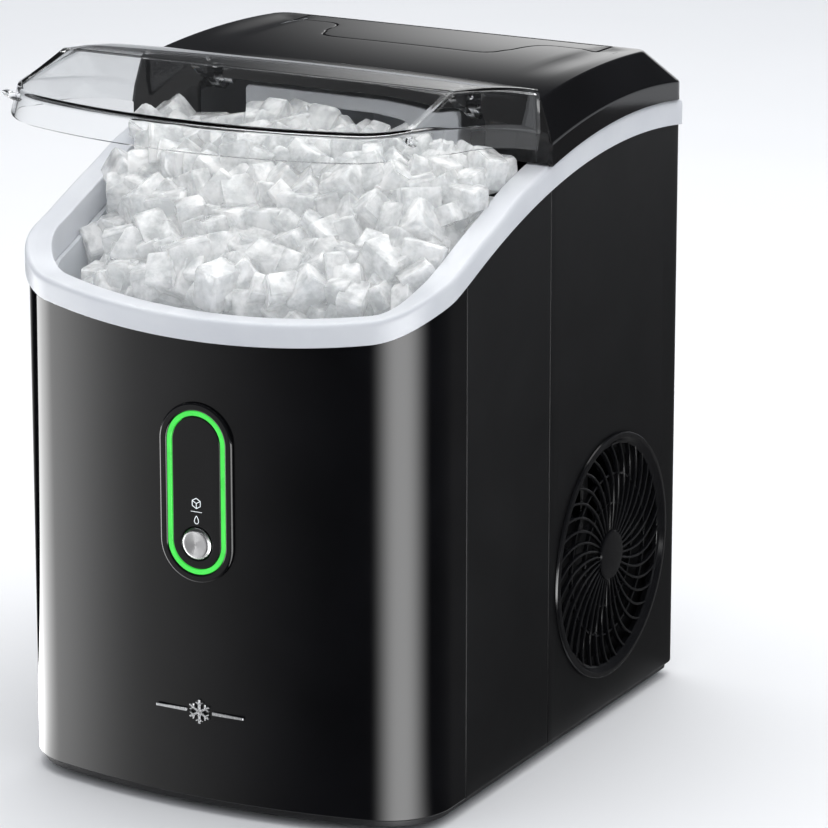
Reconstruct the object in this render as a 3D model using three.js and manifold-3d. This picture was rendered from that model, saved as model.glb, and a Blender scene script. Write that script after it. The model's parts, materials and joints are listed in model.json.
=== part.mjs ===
// Countertop nugget ice maker with a glossy curved front, an S-shaped collar around the ice bin,
// a hinged clear lid, a hinged refill flap and the refrigeration and auger parts inside.
// Millimetres, +Z up, +Y towards the back, +X to the right of somebody facing the machine.
import * as THREE from 'three';
import { mergeVertices } from 'three/addons/utils/BufferGeometryUtils.js';
import Module from 'manifold-3d';

const wasm = await Module();
wasm.setup();

// ---------- driving dimensions ----------
const WIDTH = 240;
const DEPTH = 315;
const FRONT_ARC_RADIUS = 390;      // the front face bows forward on this radius
const CORNER_RADIUS = 37;
const REAR_RADIUS = 10;
const WALL = 2.5;
const GAP = 0.3;                   // between pieces that touch
const SEAM_GAP = 0.5;
const FRONT_SEAM_Y = 62;           // glossy front shell ends here
const REAR_SEAM_Y = 155;           // side panels end here
const FOOT_HEIGHT = 8;

// The body's top edge is a parabola in side view, with a soft shoulder over the front corners.
const RIM_CREST_Y = 240;
const RIM_CREST_Z = 309;
const RIM_DROP = 67.5;
const SHOULDER = { rise: 3, y: 30, spread: 18 };

const COLLAR = { height: 14, open: 12.2, proud: 2, width: 12, lip: 12, riseY: 96, rise: 30 };
const BIN = { inset: 12.3, floorZ: 118, backY: 150, backTopZ: 289, frontY: 15.6, stepZ: 217, stepTopZ: 226 };

// Clear lid, drawn closed and then swung open about its hinge.
const LID = {
  rimLift: 17.3, skirtFront: 15.3, skirtTaper: 0.037, ridgeLift: 31.5, ridgeFrontY: 58, ridgeHalf: 112,
  endRimY: 147.3, endRidgeY: 140, wall: 2.4,
};
const LID_HINGE = { y: 156.75, z: 337, openDegrees: 28.2, eye: 5.5, pin: 2.5, armIn: 72, armOut: 77 };

const COVER = {
  outset: 3.8, frontY: 148, backY: 309, cornerRadius: 12, lift: 14.3, band: 12.3, bandTaper: 0.015,
  ridgeFront: 116.8, ridgeBack: 111.5, ridgeBackY: 287, crestY: 215, crestZ: 351, crestDrop: 3.5,
  crestReach: 70, crown: 2.4, wall: 2.5,
};
const FLAP = {
  frontY: 219, frontHalf: 52, neckHalf: 68, earY: 262, earHalf: 92, backY: 284, gap: 0.6, backGap: 1.7,
};
const FLAP_HINGE = { y: 281, z: 345.6, radius: 1.1, pinHalf: 96 };

const PANEL = { z: 163, width: 42, height: 94, buttonZ: 136.4, buttonRadius: 8.5 };
const VENT = { y: 229, z: 84, radius: 67 };
const AUGER = { x: 10, y: 190 };
const COMPRESSOR = { x: -66, y: 244, footZ: 4, domeZ: 123 };
const HOSE_SOCKET = { x: -95, z: 76, bore: 9.2 };

// ---------- materials ----------
function material(color, roughness, metalness = 0) {
  return new THREE.MeshStandardMaterial({ color, roughness, metalness });
}
const GLOSS_BLACK = () => material(0x0b0b0d, 0.12);
const MATTE_BLACK = () => material(0x1d1e20, 0.55);
const WHITE = () => material(0xd9dce1, 0.4);
const CLEAR = () => {
  const clear = material(0xe8eef0, 0.05);
  clear.transparent = true;
  clear.opacity = 0.3;
  return clear;
};
const STEEL = () => material(0xb4b7bb, 0.3, 1);
const COPPER = () => material(0xb3693d, 0.35, 1);
const RUBBER = () => material(0x161616, 0.9);
const FOAM = () => material(0xe9e9e4, 0.95);
const GREEN_LIGHT = () => material(0x3fe04a, 0.4);
const BOARD = () => material(0x1f5a35, 0.6);

// ---------- solids ----------
function toSolid(geometry) {
  const bare = geometry.clone();
  bare.deleteAttribute('normal');
  bare.deleteAttribute('uv');
  const merged = mergeVertices(bare, 1e-4);
  const vertProperties = new Float32Array(merged.attributes.position.array);
  const triVerts = new Uint32Array(merged.index.array);
  return new wasm.Manifold(new wasm.Mesh({ numProp: 3, vertProperties, triVerts }));
}

function toGeometry(solid) {
  const mesh = solid.getMesh();
  const geometry = new THREE.BufferGeometry();
  geometry.setAttribute('position', new THREE.BufferAttribute(new Float32Array(mesh.vertProperties), 3));
  geometry.setIndex(Array.from(mesh.triVerts));
  return geometry;
}

const join = (...pieces) => toGeometry(pieces.map(toSolid).reduce((a, b) => a.add(b)));
function cut(piece, ...tools) {
  return toGeometry(tools.map(toSolid).reduce((a, b) => a.subtract(b), toSolid(piece)));
}
const common = (a, b) => toGeometry(toSolid(a).intersect(toSolid(b)));

function signedVolume(geometry) {
  const position = geometry.attributes.position;
  const index = geometry.index.array;
  const [a, b, c] = [new THREE.Vector3(), new THREE.Vector3(), new THREE.Vector3()];
  let sum = 0;
  for (let i = 0; i < index.length; i += 3) {
    a.fromBufferAttribute(position, index[i]);
    b.fromBufferAttribute(position, index[i + 1]);
    c.fromBufferAttribute(position, index[i + 2]);
    sum += a.dot(b.cross(c)) / 6;
  }
  return sum;
}

// A closed surface from shared vertices and triangles, turned so that its faces point out.
function surface(vertices, triangles) {
  const geometry = new THREE.BufferGeometry();
  const numbers = vertices.flatMap((v) => v.toArray());
  geometry.setAttribute('position', new THREE.Float32BufferAttribute(numbers, 3));
  geometry.setIndex(triangles.flat());
  if (signedVolume(geometry) < 0) geometry.setIndex(triangles.flatMap(([a, b, c]) => [a, c, b]));
  return geometry;
}

// Triangles over one flat loop, seen along its own normal.
function capTriangles(loop, first) {
  const normal = new THREE.Vector3();
  loop.forEach((p, i) => {
    const q = loop[(i + 1) % loop.length];
    normal.x += (p.y - q.y) * (p.z + q.z);
    normal.y += (p.z - q.z) * (p.x + q.x);
    normal.z += (p.x - q.x) * (p.y + q.y);
  });
  const turn = new THREE.Quaternion().setFromUnitVectors(normal.normalize(), new THREE.Vector3(0, 0, 1));
  const flat = loop.map((p) => p.clone().applyQuaternion(turn)).map((p) => new THREE.Vector2(p.x, p.y));
  return THREE.ShapeUtils.triangulateShape(flat, []).map((t) => t.map((i) => first + i));
}

// Joins loops of equal length, one after the other: capped at both ends, or closed into a ring.
function loft(loops, ring = false) {
  const size = loops[0].length;
  const triangles = [];
  const spans = ring ? loops.length : loops.length - 1;
  for (let k = 0; k < spans; k += 1) {
    const here = k * size;
    const next = ((k + 1) % loops.length) * size;
    for (let i = 0; i < size; i += 1) {
      const j = (i + 1) % size;
      triangles.push([here + i, here + j, next + j], [here + i, next + j, next + i]);
    }
  }
  if (!ring) {
    const last = (loops.length - 1) * size;
    triangles.push(...capTriangles(loops[0], 0).map(([a, b, c]) => [a, c, b]));
    triangles.push(...capTriangles(loops[loops.length - 1], last));
  }
  return surface(loops.flat(), triangles);
}

function box(x0, x1, y0, y1, z0, z1) {
  const geometry = new THREE.BoxGeometry(x1 - x0, y1 - y0, z1 - z0);
  return geometry.translate((x0 + x1) / 2, (y0 + y1) / 2, (z0 + z1) / 2);
}

// Turns a shape that was made along Y onto another axis.
const AXIS_TURN = { x: (g) => g.rotateZ(-Math.PI / 2), y: (g) => g, z: (g) => g.rotateX(Math.PI / 2) };

// A rod whose middle is at (x, y, z).
function rod(axis, radius, length, x, y, z, sides = 24) {
  return AXIS_TURN[axis](new THREE.CylinderGeometry(radius, radius, length, sides)).translate(x, y, z);
}

// A solid of revolution from [radius, height] pairs. Its foot is at (x, y, z).
function turned(axis, profile, x, y, z, sides = 32) {
  const points = profile.map(([radius, height]) => new THREE.Vector2(radius, height));
  const lathe = new THREE.LatheGeometry(points, sides);
  lathe.deleteAttribute('normal');
  lathe.deleteAttribute('uv');
  const merged = mergeVertices(lathe, 1e-4);
  if (signedVolume(merged) < 0) merged.setIndex(Array.from(merged.index.array).reverse());
  return AXIS_TURN[axis](merged).translate(x, y, z);
}

// A flat outline of [a, b] pairs pushed along an axis from one level to another.
// Along z the pairs are x, y; along y they are x, z; along x they are y, z.
function prism(axis, outline, from, to) {
  const place = {
    z: ([a, b], level) => new THREE.Vector3(a, b, level),
    y: ([a, b], level) => new THREE.Vector3(a, level, b),
    x: ([a, b], level) => new THREE.Vector3(level, a, b),
  }[axis];
  return loft([from, to].map((level) => outline.map((pair) => place(pair, level))));
}

function roundedRectangle(width, height, radius, steps = 6) {
  const outline = [];
  for (const [sx, sy, start] of [[1, 1, 0], [-1, 1, 1], [-1, -1, 2], [1, -1, 3]]) {
    for (let i = 0; i <= steps; i += 1) {
      const angle = (start + i / steps) * Math.PI / 2;
      outline.push([
        sx * (width / 2 - radius) + radius * Math.cos(angle),
        sy * (height / 2 - radius) + radius * Math.sin(angle),
      ]);
    }
  }
  return outline;
}

const shifted = (outline, a, b) => outline.map(([p, q]) => [p + a, q + b]);

// A round tube along a smooth curve through the given points.
function pipe(points, radius, steps, sides = 8) {
  const path = new THREE.CatmullRomCurve3(points.map((p) => new THREE.Vector3(...p)), false, 'centripetal');
  const circle = new THREE.Shape();
  for (let i = 0; i < sides; i += 1) {
    const angle = (i / sides) * 2 * Math.PI;
    circle[i ? 'lineTo' : 'moveTo'](radius * Math.cos(angle), radius * Math.sin(angle));
  }
  circle.closePath();
  return new THREE.ExtrudeGeometry(circle, { steps, extrudePath: path, curveSegments: 1 });
}

// ---------- the body's outline in plan ----------
const CORNER_X = WIDTH / 2 - CORNER_RADIUS;
const CORNER_Y = FRONT_ARC_RADIUS - Math.sqrt((FRONT_ARC_RADIUS - CORNER_RADIUS) ** 2 - CORNER_X ** 2);
const ARC_STEPS = 6;
const CORNER_STEPS = 5;
const REAR_STEPS = 2;
const PANEL_STEPS = 3;
const REAR_SIDE_STEPS = 4;

function sideStations() {
  const between = (from, to, count) => {
    return Array.from({ length: count + 1 }, (_, i) => from + (to - from) * (i / count));
  };
  const panel = between(FRONT_SEAM_Y + SEAM_GAP / 2, REAR_SEAM_Y - SEAM_GAP / 2, PANEL_STEPS);
  const rear = between(REAR_SEAM_Y + SEAM_GAP / 2, DEPTH - 2 * REAR_RADIUS, REAR_SIDE_STEPS);
  return [FRONT_SEAM_Y - SEAM_GAP / 2, ...panel, ...rear];
}

const STATIONS = sideStations();
const FRONT_END = ARC_STEPS + CORNER_STEPS + 1;
const PANEL_START = FRONT_END + 1;
const PANEL_END = PANEL_START + PANEL_STEPS;
const REAR_START = PANEL_END + 1;

// From the middle of the front, round the right side, to the middle of the back.
function halfOutline(inset) {
  const arcRadius = FRONT_ARC_RADIUS - inset;
  const radius = CORNER_RADIUS - inset;
  const turn = Math.atan2(CORNER_X, FRONT_ARC_RADIUS - CORNER_Y);
  const points = [];
  for (let i = 0; i <= ARC_STEPS; i += 1) {
    const angle = turn * (i / ARC_STEPS);
    points.push([arcRadius * Math.sin(angle), FRONT_ARC_RADIUS - arcRadius * Math.cos(angle)]);
  }
  for (let i = 1; i <= CORNER_STEPS; i += 1) {
    const angle = turn + (Math.PI / 2 - turn) * (i / CORNER_STEPS);
    points.push([CORNER_X + radius * Math.sin(angle), CORNER_Y - radius * Math.cos(angle)]);
  }
  STATIONS.forEach((y) => points.push([WIDTH / 2 - inset, y]));
  const rearRadius = Math.max(REAR_RADIUS - inset, 1);
  for (let i = 0; i <= REAR_STEPS; i += 1) {
    const angle = (i / REAR_STEPS) * Math.PI / 2;
    points.push([
      WIDTH / 2 - inset - rearRadius + rearRadius * Math.cos(angle),
      DEPTH - inset - rearRadius + rearRadius * Math.sin(angle),
    ]);
  }
  points.push([0, DEPTH - inset]);
  return points;
}

const mirrored = (points) => points.map(([x, y]) => [-x, y]);

function frontPath(inset) {
  const half = halfOutline(inset).slice(0, FRONT_END + 1);
  return [...half.slice().reverse(), ...mirrored(half.slice(1))];
}

function rearPath(inset) {
  const half = halfOutline(inset).slice(REAR_START);
  return [...half, ...mirrored(half.slice(0, -1)).reverse()];
}

function wholeLoop(inset) {
  const half = halfOutline(inset);
  return [...half, ...mirrored(half.slice(1, -1)).reverse()];
}

// The front of the outline, closed by a straight back at the given y.
function frontLoop(inset, backY) {
  const half = halfOutline(inset).filter(([, y]) => y < backY - 1);
  half.push([WIDTH / 2 - inset, backY]);
  return [...half, ...mirrored(half.slice(1)).reverse()];
}

function rimZ(y) {
  const fall = RIM_DROP * ((RIM_CREST_Y - y) / RIM_CREST_Y) ** 2;
  return RIM_CREST_Z - fall + SHOULDER.rise * Math.exp(-(((y - SHOULDER.y) / SHOULDER.spread) ** 2));
}

// A standing wall along a path, from a floor level up to a height that follows y.
function wall(outer, inner, floorZ, topZ) {
  return loft(outer.map(([x, y], i) => {
    const [u, v] = inner[i];
    const top = topZ(y);
    return [
      new THREE.Vector3(x, y, floorZ), new THREE.Vector3(x, y, top),
      new THREE.Vector3(u, v, top), new THREE.Vector3(u, v, floorZ),
    ];
  }));
}

const level = (loop, z) => loop.map(([x, y]) => new THREE.Vector3(x, y, z));

// ---------- scene graph ----------
const root = new THREE.Group();

function add(name, geometry, finish) {
  const mesh = new THREE.Mesh(geometry, finish);
  mesh.name = name;
  root.add(mesh);
}

// ---------- base and feet ----------
function baseTray() {
  const outside = prism('z', wholeLoop(WALL + 0.6), -4, 12);
  const inside = prism('z', wholeLoop(2 * WALL + 0.6), 0, 13);
  const vents = [-60, -30, 0, 30, 60].map((x) => box(x - 3, x + 3, 150, 158, -5, 1));
  return cut(outside, inside, ...vents);
}

function foot(x, y) {
  const height = FOOT_HEIGHT - 4 - GAP;
  return turned('z', [[0, 0], [12, 0], [13, 1], [12, height], [0, height]], x, y, -FOOT_HEIGHT, 20);
}

// ---------- outer shells ----------
const stadium = (width, height, steps = 7) => roundedRectangle(width, height, width / 2 - 0.01, steps);

function frontShell() {
  const shell = wall(frontPath(0), frontPath(WALL), 0, rimZ);
  const hole = prism('y', shifted(stadium(PANEL.width - 5, PANEL.height - 5), 0, PANEL.z), -10, 20);
  return cut(shell, hole);
}

function sidePanel(side) {
  const strip = (inset) => {
    return halfOutline(inset).slice(PANEL_START, PANEL_END + 1).map(([x, y]) => [side * x, y]);
  };
  return wall(strip(0), strip(WALL), 0, rimZ);
}

function rearShell() {
  const shell = wall(rearPath(0), rearPath(WALL), 0, rimZ);
  const ventHole = rod('x', VENT.radius - 4, 2 * WIDTH, 0, VENT.y, VENT.z, 32);
  const inletHole = box(-94, -66, DEPTH - 10, DEPTH + 10, 28, 52);
  const drainHole = rod('y', 9.5, 30, 70, DEPTH, 24);
  const slots = [];
  for (let row = 0; row < 4; row += 1) {
    slots.push(box(-45, 45, DEPTH - 10, DEPTH + 10, 206 + 13 * row, 211 + 13 * row));
  }
  return cut(shell, ventHole, inletHole, drainHole, ...slots);
}

// The collar is a little thicker where it runs under the cover.
function coveredShare(y) {
  const t = THREE.MathUtils.clamp((y - COLLAR.riseY) / COLLAR.rise, 0, 1);
  return t * t * (3 - 2 * t);
}

function collar() {
  const { height, open, proud, width, lip } = COLLAR;
  const profile = [
    [-proud, GAP], [-proud, open - 2.6], [-0.9, open - 0.8], [1, open], [width - 0.9, open],
    [width, open - 0.9], [width, -lip], [width - 2.2, -lip], [width - 2.2, 8], [WALL, GAP],
  ];
  const guide = wholeLoop(0);
  return loft(profile.map(([inset, lift]) => wholeLoop(inset).map(([x, y], i) => {
    const along = guide[i][1];
    const raised = lift > 9 ? lift + (height - open) * coveredShare(along) : lift;
    return new THREE.Vector3(x, y, rimZ(along) + raised);
  })), true);
}

// ---------- ice bin ----------
// The lower front wall stands back from the controls.
function binLiner() {
  const { inset, floorZ, backY, backTopZ, frontY, stepZ, stepTopZ } = BIN;
  const rise = (loop) => loop.map(([x, y]) => {
    const behind = y > backY - WALL - 1;
    return new THREE.Vector3(x, y, behind ? backTopZ : rimZ(y) - 4);
  });
  const setBack = (loop, least) => loop.map(([x, y]) => [x, Math.max(y, least)]);
  const outside = frontLoop(inset, backY);
  const inside = frontLoop(inset + WALL, backY - WALL);
  return loft([
    level(frontLoop(inset + 8, backY), floorZ),
    level(setBack(outside, frontY), floorZ + 14),
    level(setBack(outside, frontY), stepZ),
    level(outside, stepTopZ),
    rise(outside),
    rise(inside),
    level(inside, stepTopZ),
    level(setBack(inside, frontY + WALL), stepZ),
    level(setBack(inside, frontY + WALL), floorZ + 14),
    level(frontLoop(inset + 8 + WALL, backY - WALL), floorZ + WALL),
  ]);
}

function binInsulation() {
  const outside = halfOutline(WALL + 0.5).filter(([, y]) => y < BIN.backY);
  const inside = halfOutline(BIN.inset - 0.5).filter(([, y]) => y < BIN.backY);
  const path = (half) => [...half.slice().reverse(), ...mirrored(half.slice(1))];
  const foam = wall(path(outside), path(inside), BIN.floorZ + 2, (y) => rimZ(y) - COLLAR.lip - 2);
  return cut(foam, box(-30, 30, -10, 30, PANEL.z - 55, PANEL.z + 55));
}

// ---------- hinged shells: a skirt, a chamfer above it and a crowned top ----------
// Each level is a path from the right end to the left end. The top is a grid whose sides and
// far edge are the last level.
function skinPoints({ levels, rows, crown }) {
  const edge = levels[levels.length - 1];
  const columns = edge.length - 1 - 2 * rows;
  const grid = [];
  for (let i = 0; i < rows; i += 1) {
    const right = edge[i];
    const left = edge[edge.length - 1 - i];
    const row = [];
    for (let j = 1; j < columns; j += 1) {
      const point = right.clone().lerp(left, j / columns);
      point.z += crown(point.y) * (1 - (2 * j / columns - 1) ** 2);
      row.push(point);
    }
    grid.push(row);
  }
  return { levels, grid, columns, rows };
}

function hingedShell(outer, inner) {
  const vertices = [];
  const triangles = [];
  const quad = (a, b, c, d) => triangles.push([a, b, c], [a, c, d]);
  const number = (skin) => {
    const keep = (point) => vertices.push(point) - 1;
    const levels = skin.levels.map((path) => path.map(keep));
    const edge = levels[levels.length - 1];
    const rows = skin.grid.map((row, i) => [edge[i], ...row.map(keep), edge[edge.length - 1 - i]]);
    rows.push(edge.slice(skin.rows, edge.length - skin.rows));
    return { levels, rows };
  };
  const skins = [number(outer), number(inner)];
  skins.forEach(({ levels, rows }, side) => {
    const face = side ? (a, b, c, d) => quad(a, d, c, b) : quad;
    for (let k = 0; k + 1 < levels.length; k += 1) {
      for (let i = 0; i + 1 < levels[k].length; i += 1) {
        face(levels[k][i], levels[k][i + 1], levels[k + 1][i + 1], levels[k + 1][i]);
      }
    }
    for (let i = 0; i + 1 < rows.length; i += 1) {
      for (let j = 0; j + 1 < rows[i].length; j += 1) {
        face(rows[i][j], rows[i + 1][j], rows[i + 1][j + 1], rows[i][j + 1]);
      }
    }
  });
  const [out, into] = skins;
  const rim = (skin) => skin.levels[0];
  for (let i = 0; i + 1 < rim(out).length; i += 1) {
    quad(rim(out)[i + 1], rim(out)[i], rim(into)[i], rim(into)[i + 1]);
  }
  const endLine = ({ levels, rows }) => [
    ...levels.slice(0, -1).map((path) => path[0]),
    ...rows[0],
    ...levels.slice(0, -1).map((path) => path[path.length - 1]).reverse(),
  ];
  const [lineOut, lineIn] = [endLine(out), endLine(into)];
  for (let i = 0; i + 1 < lineOut.length; i += 1) {
    quad(lineOut[i], lineOut[i + 1], lineIn[i + 1], lineIn[i]);
  }
  return surface(vertices, triangles);
}

function bothSides(half) {
  return [...half, ...half.slice(0, -1).reverse().map((p) => new THREE.Vector3(-p.x, p.y, p.z))];
}

// ---------- clear lid ----------
function lidSkin(depth) {
  const stations = halfOutline(depth).filter(([, y]) => y < LID.endRidgeY - 5).reverse();
  const guide = halfOutline(0).filter(([, y]) => y < LID.endRidgeY - 5).reverse();
  const skirtTop = (y) => LID.skirtFront - LID.skirtTaper * y;
  const follow = (endY, lift) => {
    const height = (along, y) => rimZ(along) + LID.rimLift + lift(y);
    const path = stations.map(([x, y], i) => new THREE.Vector3(x, y, height(guide[i][1], y)));
    return [new THREE.Vector3(WIDTH / 2 - depth, endY, height(endY, endY)), ...path];
  };
  const rim = follow(LID.endRimY, () => 0);
  const fold = follow(LID.endRimY - 2, (y) => skirtTop(y) - depth / 2);
  const rows = rim.length - 1 - ARC_STEPS - Math.floor(CORNER_STEPS / 2);
  const across = rim.length - 1 - rows;
  const ridgeY = (t) => LID.endRidgeY + (LID.ridgeFrontY + depth - LID.endRidgeY) * t;
  const ridgeX = (t) => COVER.ridgeFront - depth + (LID.ridgeHalf - COVER.ridgeFront) * t;
  const ridge = rim.map((_, i) => {
    const along = Math.min(i / rows, 1);
    const y = ridgeY(along);
    const x = i <= rows ? ridgeX(along) : ridgeX(1) * (1 - (i - rows) / across);
    return new THREE.Vector3(x, y, rimZ(y) + LID.rimLift + LID.ridgeLift - depth);
  });
  const crown = (y) => COVER.crown * (y - LID.ridgeFrontY) / (LID.endRidgeY - LID.ridgeFrontY);
  return skinPoints({ levels: [rim, fold, ridge].map(bothSides), rows, crown });
}

function lidArm(side) {
  const { y, z, eye, pin, armIn, armOut } = LID_HINGE;
  const outline = [
    [y, z - eye], [y, z + eye], [146, 340], [137, 340.5], [133.5, 343.3], [126, 341.2], [126, 333],
    [140, z - eye],
  ];
  const [from, to] = [side * armIn, side * armOut].sort((a, b) => a - b);
  const arm = prism('x', outline, from, to);
  const middle = (from + to) / 2;
  return cut(join(arm, rod('x', eye, armOut - armIn, middle, y, z)), rod('x', pin + 0.15, 20, middle, y, z));
}

// A small finger tab that stands out of the skirt where the front corner turns.
function cornerTab(side) {
  const turn = 0.63;
  const from = CORNER_RADIUS - 1.5;
  const tipY = CORNER_Y - CORNER_RADIUS * Math.sin(turn);
  const outline = [[from, -2], [from + 6, -1.6], [from + 7, 0], [from + 6, 1.6], [from, 2]];
  const tab = prism('y', outline, -4, 4).rotateZ(-turn);
  tab.translate(CORNER_X, CORNER_Y, rimZ(tipY) + LID.rimLift + 8);
  return side > 0 ? tab : toGeometry(toSolid(tab).mirror([1, 0, 0]));
}

function clearLid() {
  const shell = hingedShell(lidSkin(0), lidSkin(LID.wall));
  return join(shell, lidArm(1), lidArm(-1), cornerTab(1), cornerTab(-1));
}

function openLid(geometry) {
  const { y, z, openDegrees } = LID_HINGE;
  return geometry.translate(0, -y, -z).rotateX(-openDegrees * Math.PI / 180).translate(0, y, z);
}

// ---------- top cover ----------
const COVER_STEPS = 6;
const COVER_CORNER_STEPS = 2;
const COVER_BACK_STEPS = 5;

const bandTop = (y) => COVER.lift + COVER.band - COVER.bandTaper * (y - COVER.frontY);
const ridgeTop = (y) => COVER.crestZ - COVER.crestDrop * ((y - COVER.crestY) / COVER.crestReach) ** 2;

function coverSkin(depth) {
  const half = WIDTH / 2 + COVER.outset - depth;
  const back = COVER.backY - depth;
  const radius = COVER.cornerRadius - depth;
  const sideEnd = COVER.backY - COVER.cornerRadius;
  const plan = [];
  for (let i = 0; i <= COVER_STEPS; i += 1) {
    plan.push([half, COVER.frontY + (sideEnd - COVER.frontY) * (i / COVER_STEPS)]);
  }
  for (let i = 1; i <= COVER_CORNER_STEPS; i += 1) {
    const angle = (i / COVER_CORNER_STEPS) * Math.PI / 2;
    plan.push([half - radius + radius * Math.cos(angle), sideEnd + radius * Math.sin(angle)]);
  }
  for (let i = 1; i <= COVER_BACK_STEPS; i += 1) {
    plan.push([(half - radius) * (1 - i / COVER_BACK_STEPS), back]);
  }
  const rows = COVER_STEPS + 1;
  const across = plan.length - 1 - rows;
  const rim = plan.map(([x, y]) => new THREE.Vector3(x, y, rimZ(y) + COVER.lift));
  const fold = plan.map(([x, y]) => new THREE.Vector3(x, y, rimZ(y) + bandTop(y) - depth / 2));
  const ridge = plan.map((_, i) => {
    const along = Math.min(i / rows, 1);
    const y = COVER.frontY + (COVER.ridgeBackY - depth / 2 - COVER.frontY) * along;
    const edge = COVER.ridgeFront + (COVER.ridgeBack - COVER.ridgeFront) * along - depth;
    const x = i <= rows ? edge : edge * (1 - (i - rows) / across);
    return new THREE.Vector3(x, y, ridgeTop(y) - depth);
  });
  const crown = (y) => COVER.crown * (COVER.ridgeBackY - y) / (COVER.ridgeBackY - COVER.frontY);
  return skinPoints({ levels: [rim, fold, ridge].map(bothSides), rows, crown });
}

function coverFront() {
  const { frontY, lift, ridgeFront, crown, outset } = COVER;
  const half = WIDTH / 2 + outset - 1.2;
  const bottom = rimZ(frontY + 3) + lift + 0.1;
  const shoulder = rimZ(frontY) + bandTop(frontY) - 0.8;
  const top = ridgeTop(frontY) - 1.2;
  const sideOutline = [[half, bottom], [half, shoulder], [ridgeFront - 1, top], [58, top + crown * 0.7]];
  const outline = [...sideOutline, ...sideOutline.slice().reverse().map(([x, z]) => [-x, z])];
  const arch = prism('y', shifted(roundedRectangle(168, 50, 8), 0, 314), frontY - 5, frontY + 10);
  const notch = (side) => box(side * 75 - 6, side * 75 + 6, frontY - 5, frontY + 10, 330, 348.2);
  return cut(prism('y', outline, frontY, frontY + 3), arch, notch(1), notch(-1));
}

function hingeCheek(side) {
  const { y, z, pin } = LID_HINGE;
  const outline = [[y - 5, 349], [y - 5, z - 5], [y + 5, z - 5], [y + 12, 349]];
  const [from, to] = [side * 80.5, side * 83.5].sort((a, b) => a - b);
  return cut(prism('x', outline, from, to), rod('x', pin + 0.1, 12, side * 82, y, z));
}

// A tongue in front, an S-curve out to a notch on each side, and two hinge ears at the back.
function flapOutline(gap, backGap) {
  const { frontY, frontHalf, neckHalf, earY, earHalf, backY } = FLAP;
  const front = frontY + gap;
  const half = [
    [0, front], [frontHalf - 9, front], [frontHalf - 2 - gap, front + 3], [frontHalf + 3 - gap, front + 12],
    [frontHalf + 6 - gap, earY - 14], [neckHalf - 4 - gap, earY - 4 + gap], [neckHalf, earY + gap],
    [earHalf - gap, earY + gap], [earHalf - gap, backY - backGap],
  ];
  return [...half, ...mirrored(half.slice(1)).reverse()];
}

function topSkin() {
  return hingedShell(coverSkin(0), coverSkin(COVER.wall));
}

function topCover() {
  const { y, z, radius, pinHalf } = FLAP_HINGE;
  const skin = cut(topSkin(), prism('z', flapOutline(0, 0), 330, 370));
  const lug = (x) => box(x - 2.5, x + 2.5, y - 3.5, y + 3, z - 3.5, z + 0.6);
  const shell = join(skin, coverFront(), hingeCheek(1), hingeCheek(-1), lug(95), lug(-95));
  return cut(shell, rod('x', radius + 0.1, 2 * pinHalf + 0.6, 0, y, z, 16));
}

function refillFlap() {
  const plate = common(topSkin(), prism('z', flapOutline(FLAP.gap, FLAP.backGap), 330, 370));
  const { y, z, radius } = FLAP_HINGE;
  const barrel = (x) => rod('x', 2 * radius, 14, x, y, z, 16);
  const bore = rod('x', radius + 0.15, 220, 0, y, z, 16);
  return cut(join(plate, barrel(76), barrel(-76)), bore);
}

function refillPin() {
  const { y, z, radius, pinHalf } = FLAP_HINGE;
  return rod('x', radius, 2 * pinHalf, 0, y, z, 16);
}

// ---------- control panel ----------
const PANEL_FACE_Y = -1.8;

function panelRing(outerWidth, outerHeight, innerWidth, innerHeight, fromY, toY) {
  const outside = prism('y', shifted(stadium(outerWidth, outerHeight), 0, PANEL.z), fromY, toY);
  const inside = prism('y', shifted(stadium(innerWidth, innerHeight), 0, PANEL.z), fromY - 1, toY + 1);
  return cut(outside, inside);
}

function controlBezel() {
  const rim = panelRing(PANEL.width, PANEL.height, PANEL.width - 8, PANEL.height - 8, PANEL_FACE_Y, -GAP);
  const neck = panelRing(PANEL.width - 6, PANEL.height - 6, PANEL.width - 8, PANEL.height - 8, -1, 5);
  return join(rim, neck);
}

function displayWindow() {
  const plate = prism('y', shifted(stadium(27.6, 79.6), 0, PANEL.z), -1.2, 3);
  return cut(plate, rod('y', PANEL.buttonRadius + 0.4, 30, 0, 0, PANEL.buttonZ, 32));
}

function startButton() {
  const profile = [[0, -0.5], [6.5, -0.5], [7.6, 0], [8.5, 0.9], [8.5, 6], [0, 6]];
  const cap = turned('y', profile, 0, -2.2, PANEL.buttonZ, 24);
  return join(cap, rod('y', 2.5, 5, 0, 6, PANEL.buttonZ));
}

function buttonSpring() {
  const turns = 3;
  const points = [];
  for (let i = 0; i <= turns * 8; i += 1) {
    const angle = (i / 8) * 2 * Math.PI;
    const y = 5.9 + (i / (turns * 8)) * 3.6;
    points.push([4.6 * Math.cos(angle), y, PANEL.buttonZ + 4.6 * Math.sin(angle)]);
  }
  return pipe(points, 0.45, turns * 10, 5);
}

function controlHousing() {
  const outside = prism('y', shifted(roundedRectangle(52, 104, 6), 0, PANEL.z), 5.5, 15.3);
  const inside = prism('y', shifted(roundedRectangle(47, 99, 5), 0, PANEL.z), 4, 13.3);
  return cut(outside, inside);
}

function controlBoard() {
  const board = box(-20, 20, 10.3, 11.8, PANEL.z - 44, PANEL.z + 44);
  return join(board, box(-3, 3, 11.5, 13, PANEL.z + 5, PANEL.z + 20));
}

// A six-armed crystal between two bars: a plain decorative badge.
function frontEmblem() {
  const centreZ = 47;
  const bar = (length, angle, x) => {
    const slab = box(-length / 2, length / 2, -1.2, -0.3, -0.9, 0.9);
    return slab.rotateY(angle).translate(x, 0, centreZ);
  };
  const arms = [0, 1, 2].map((i) => bar(13, (i * Math.PI) / 3, 0));
  return join(...arms, bar(20, 0, 16), bar(20, 0, -16));
}

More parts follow.
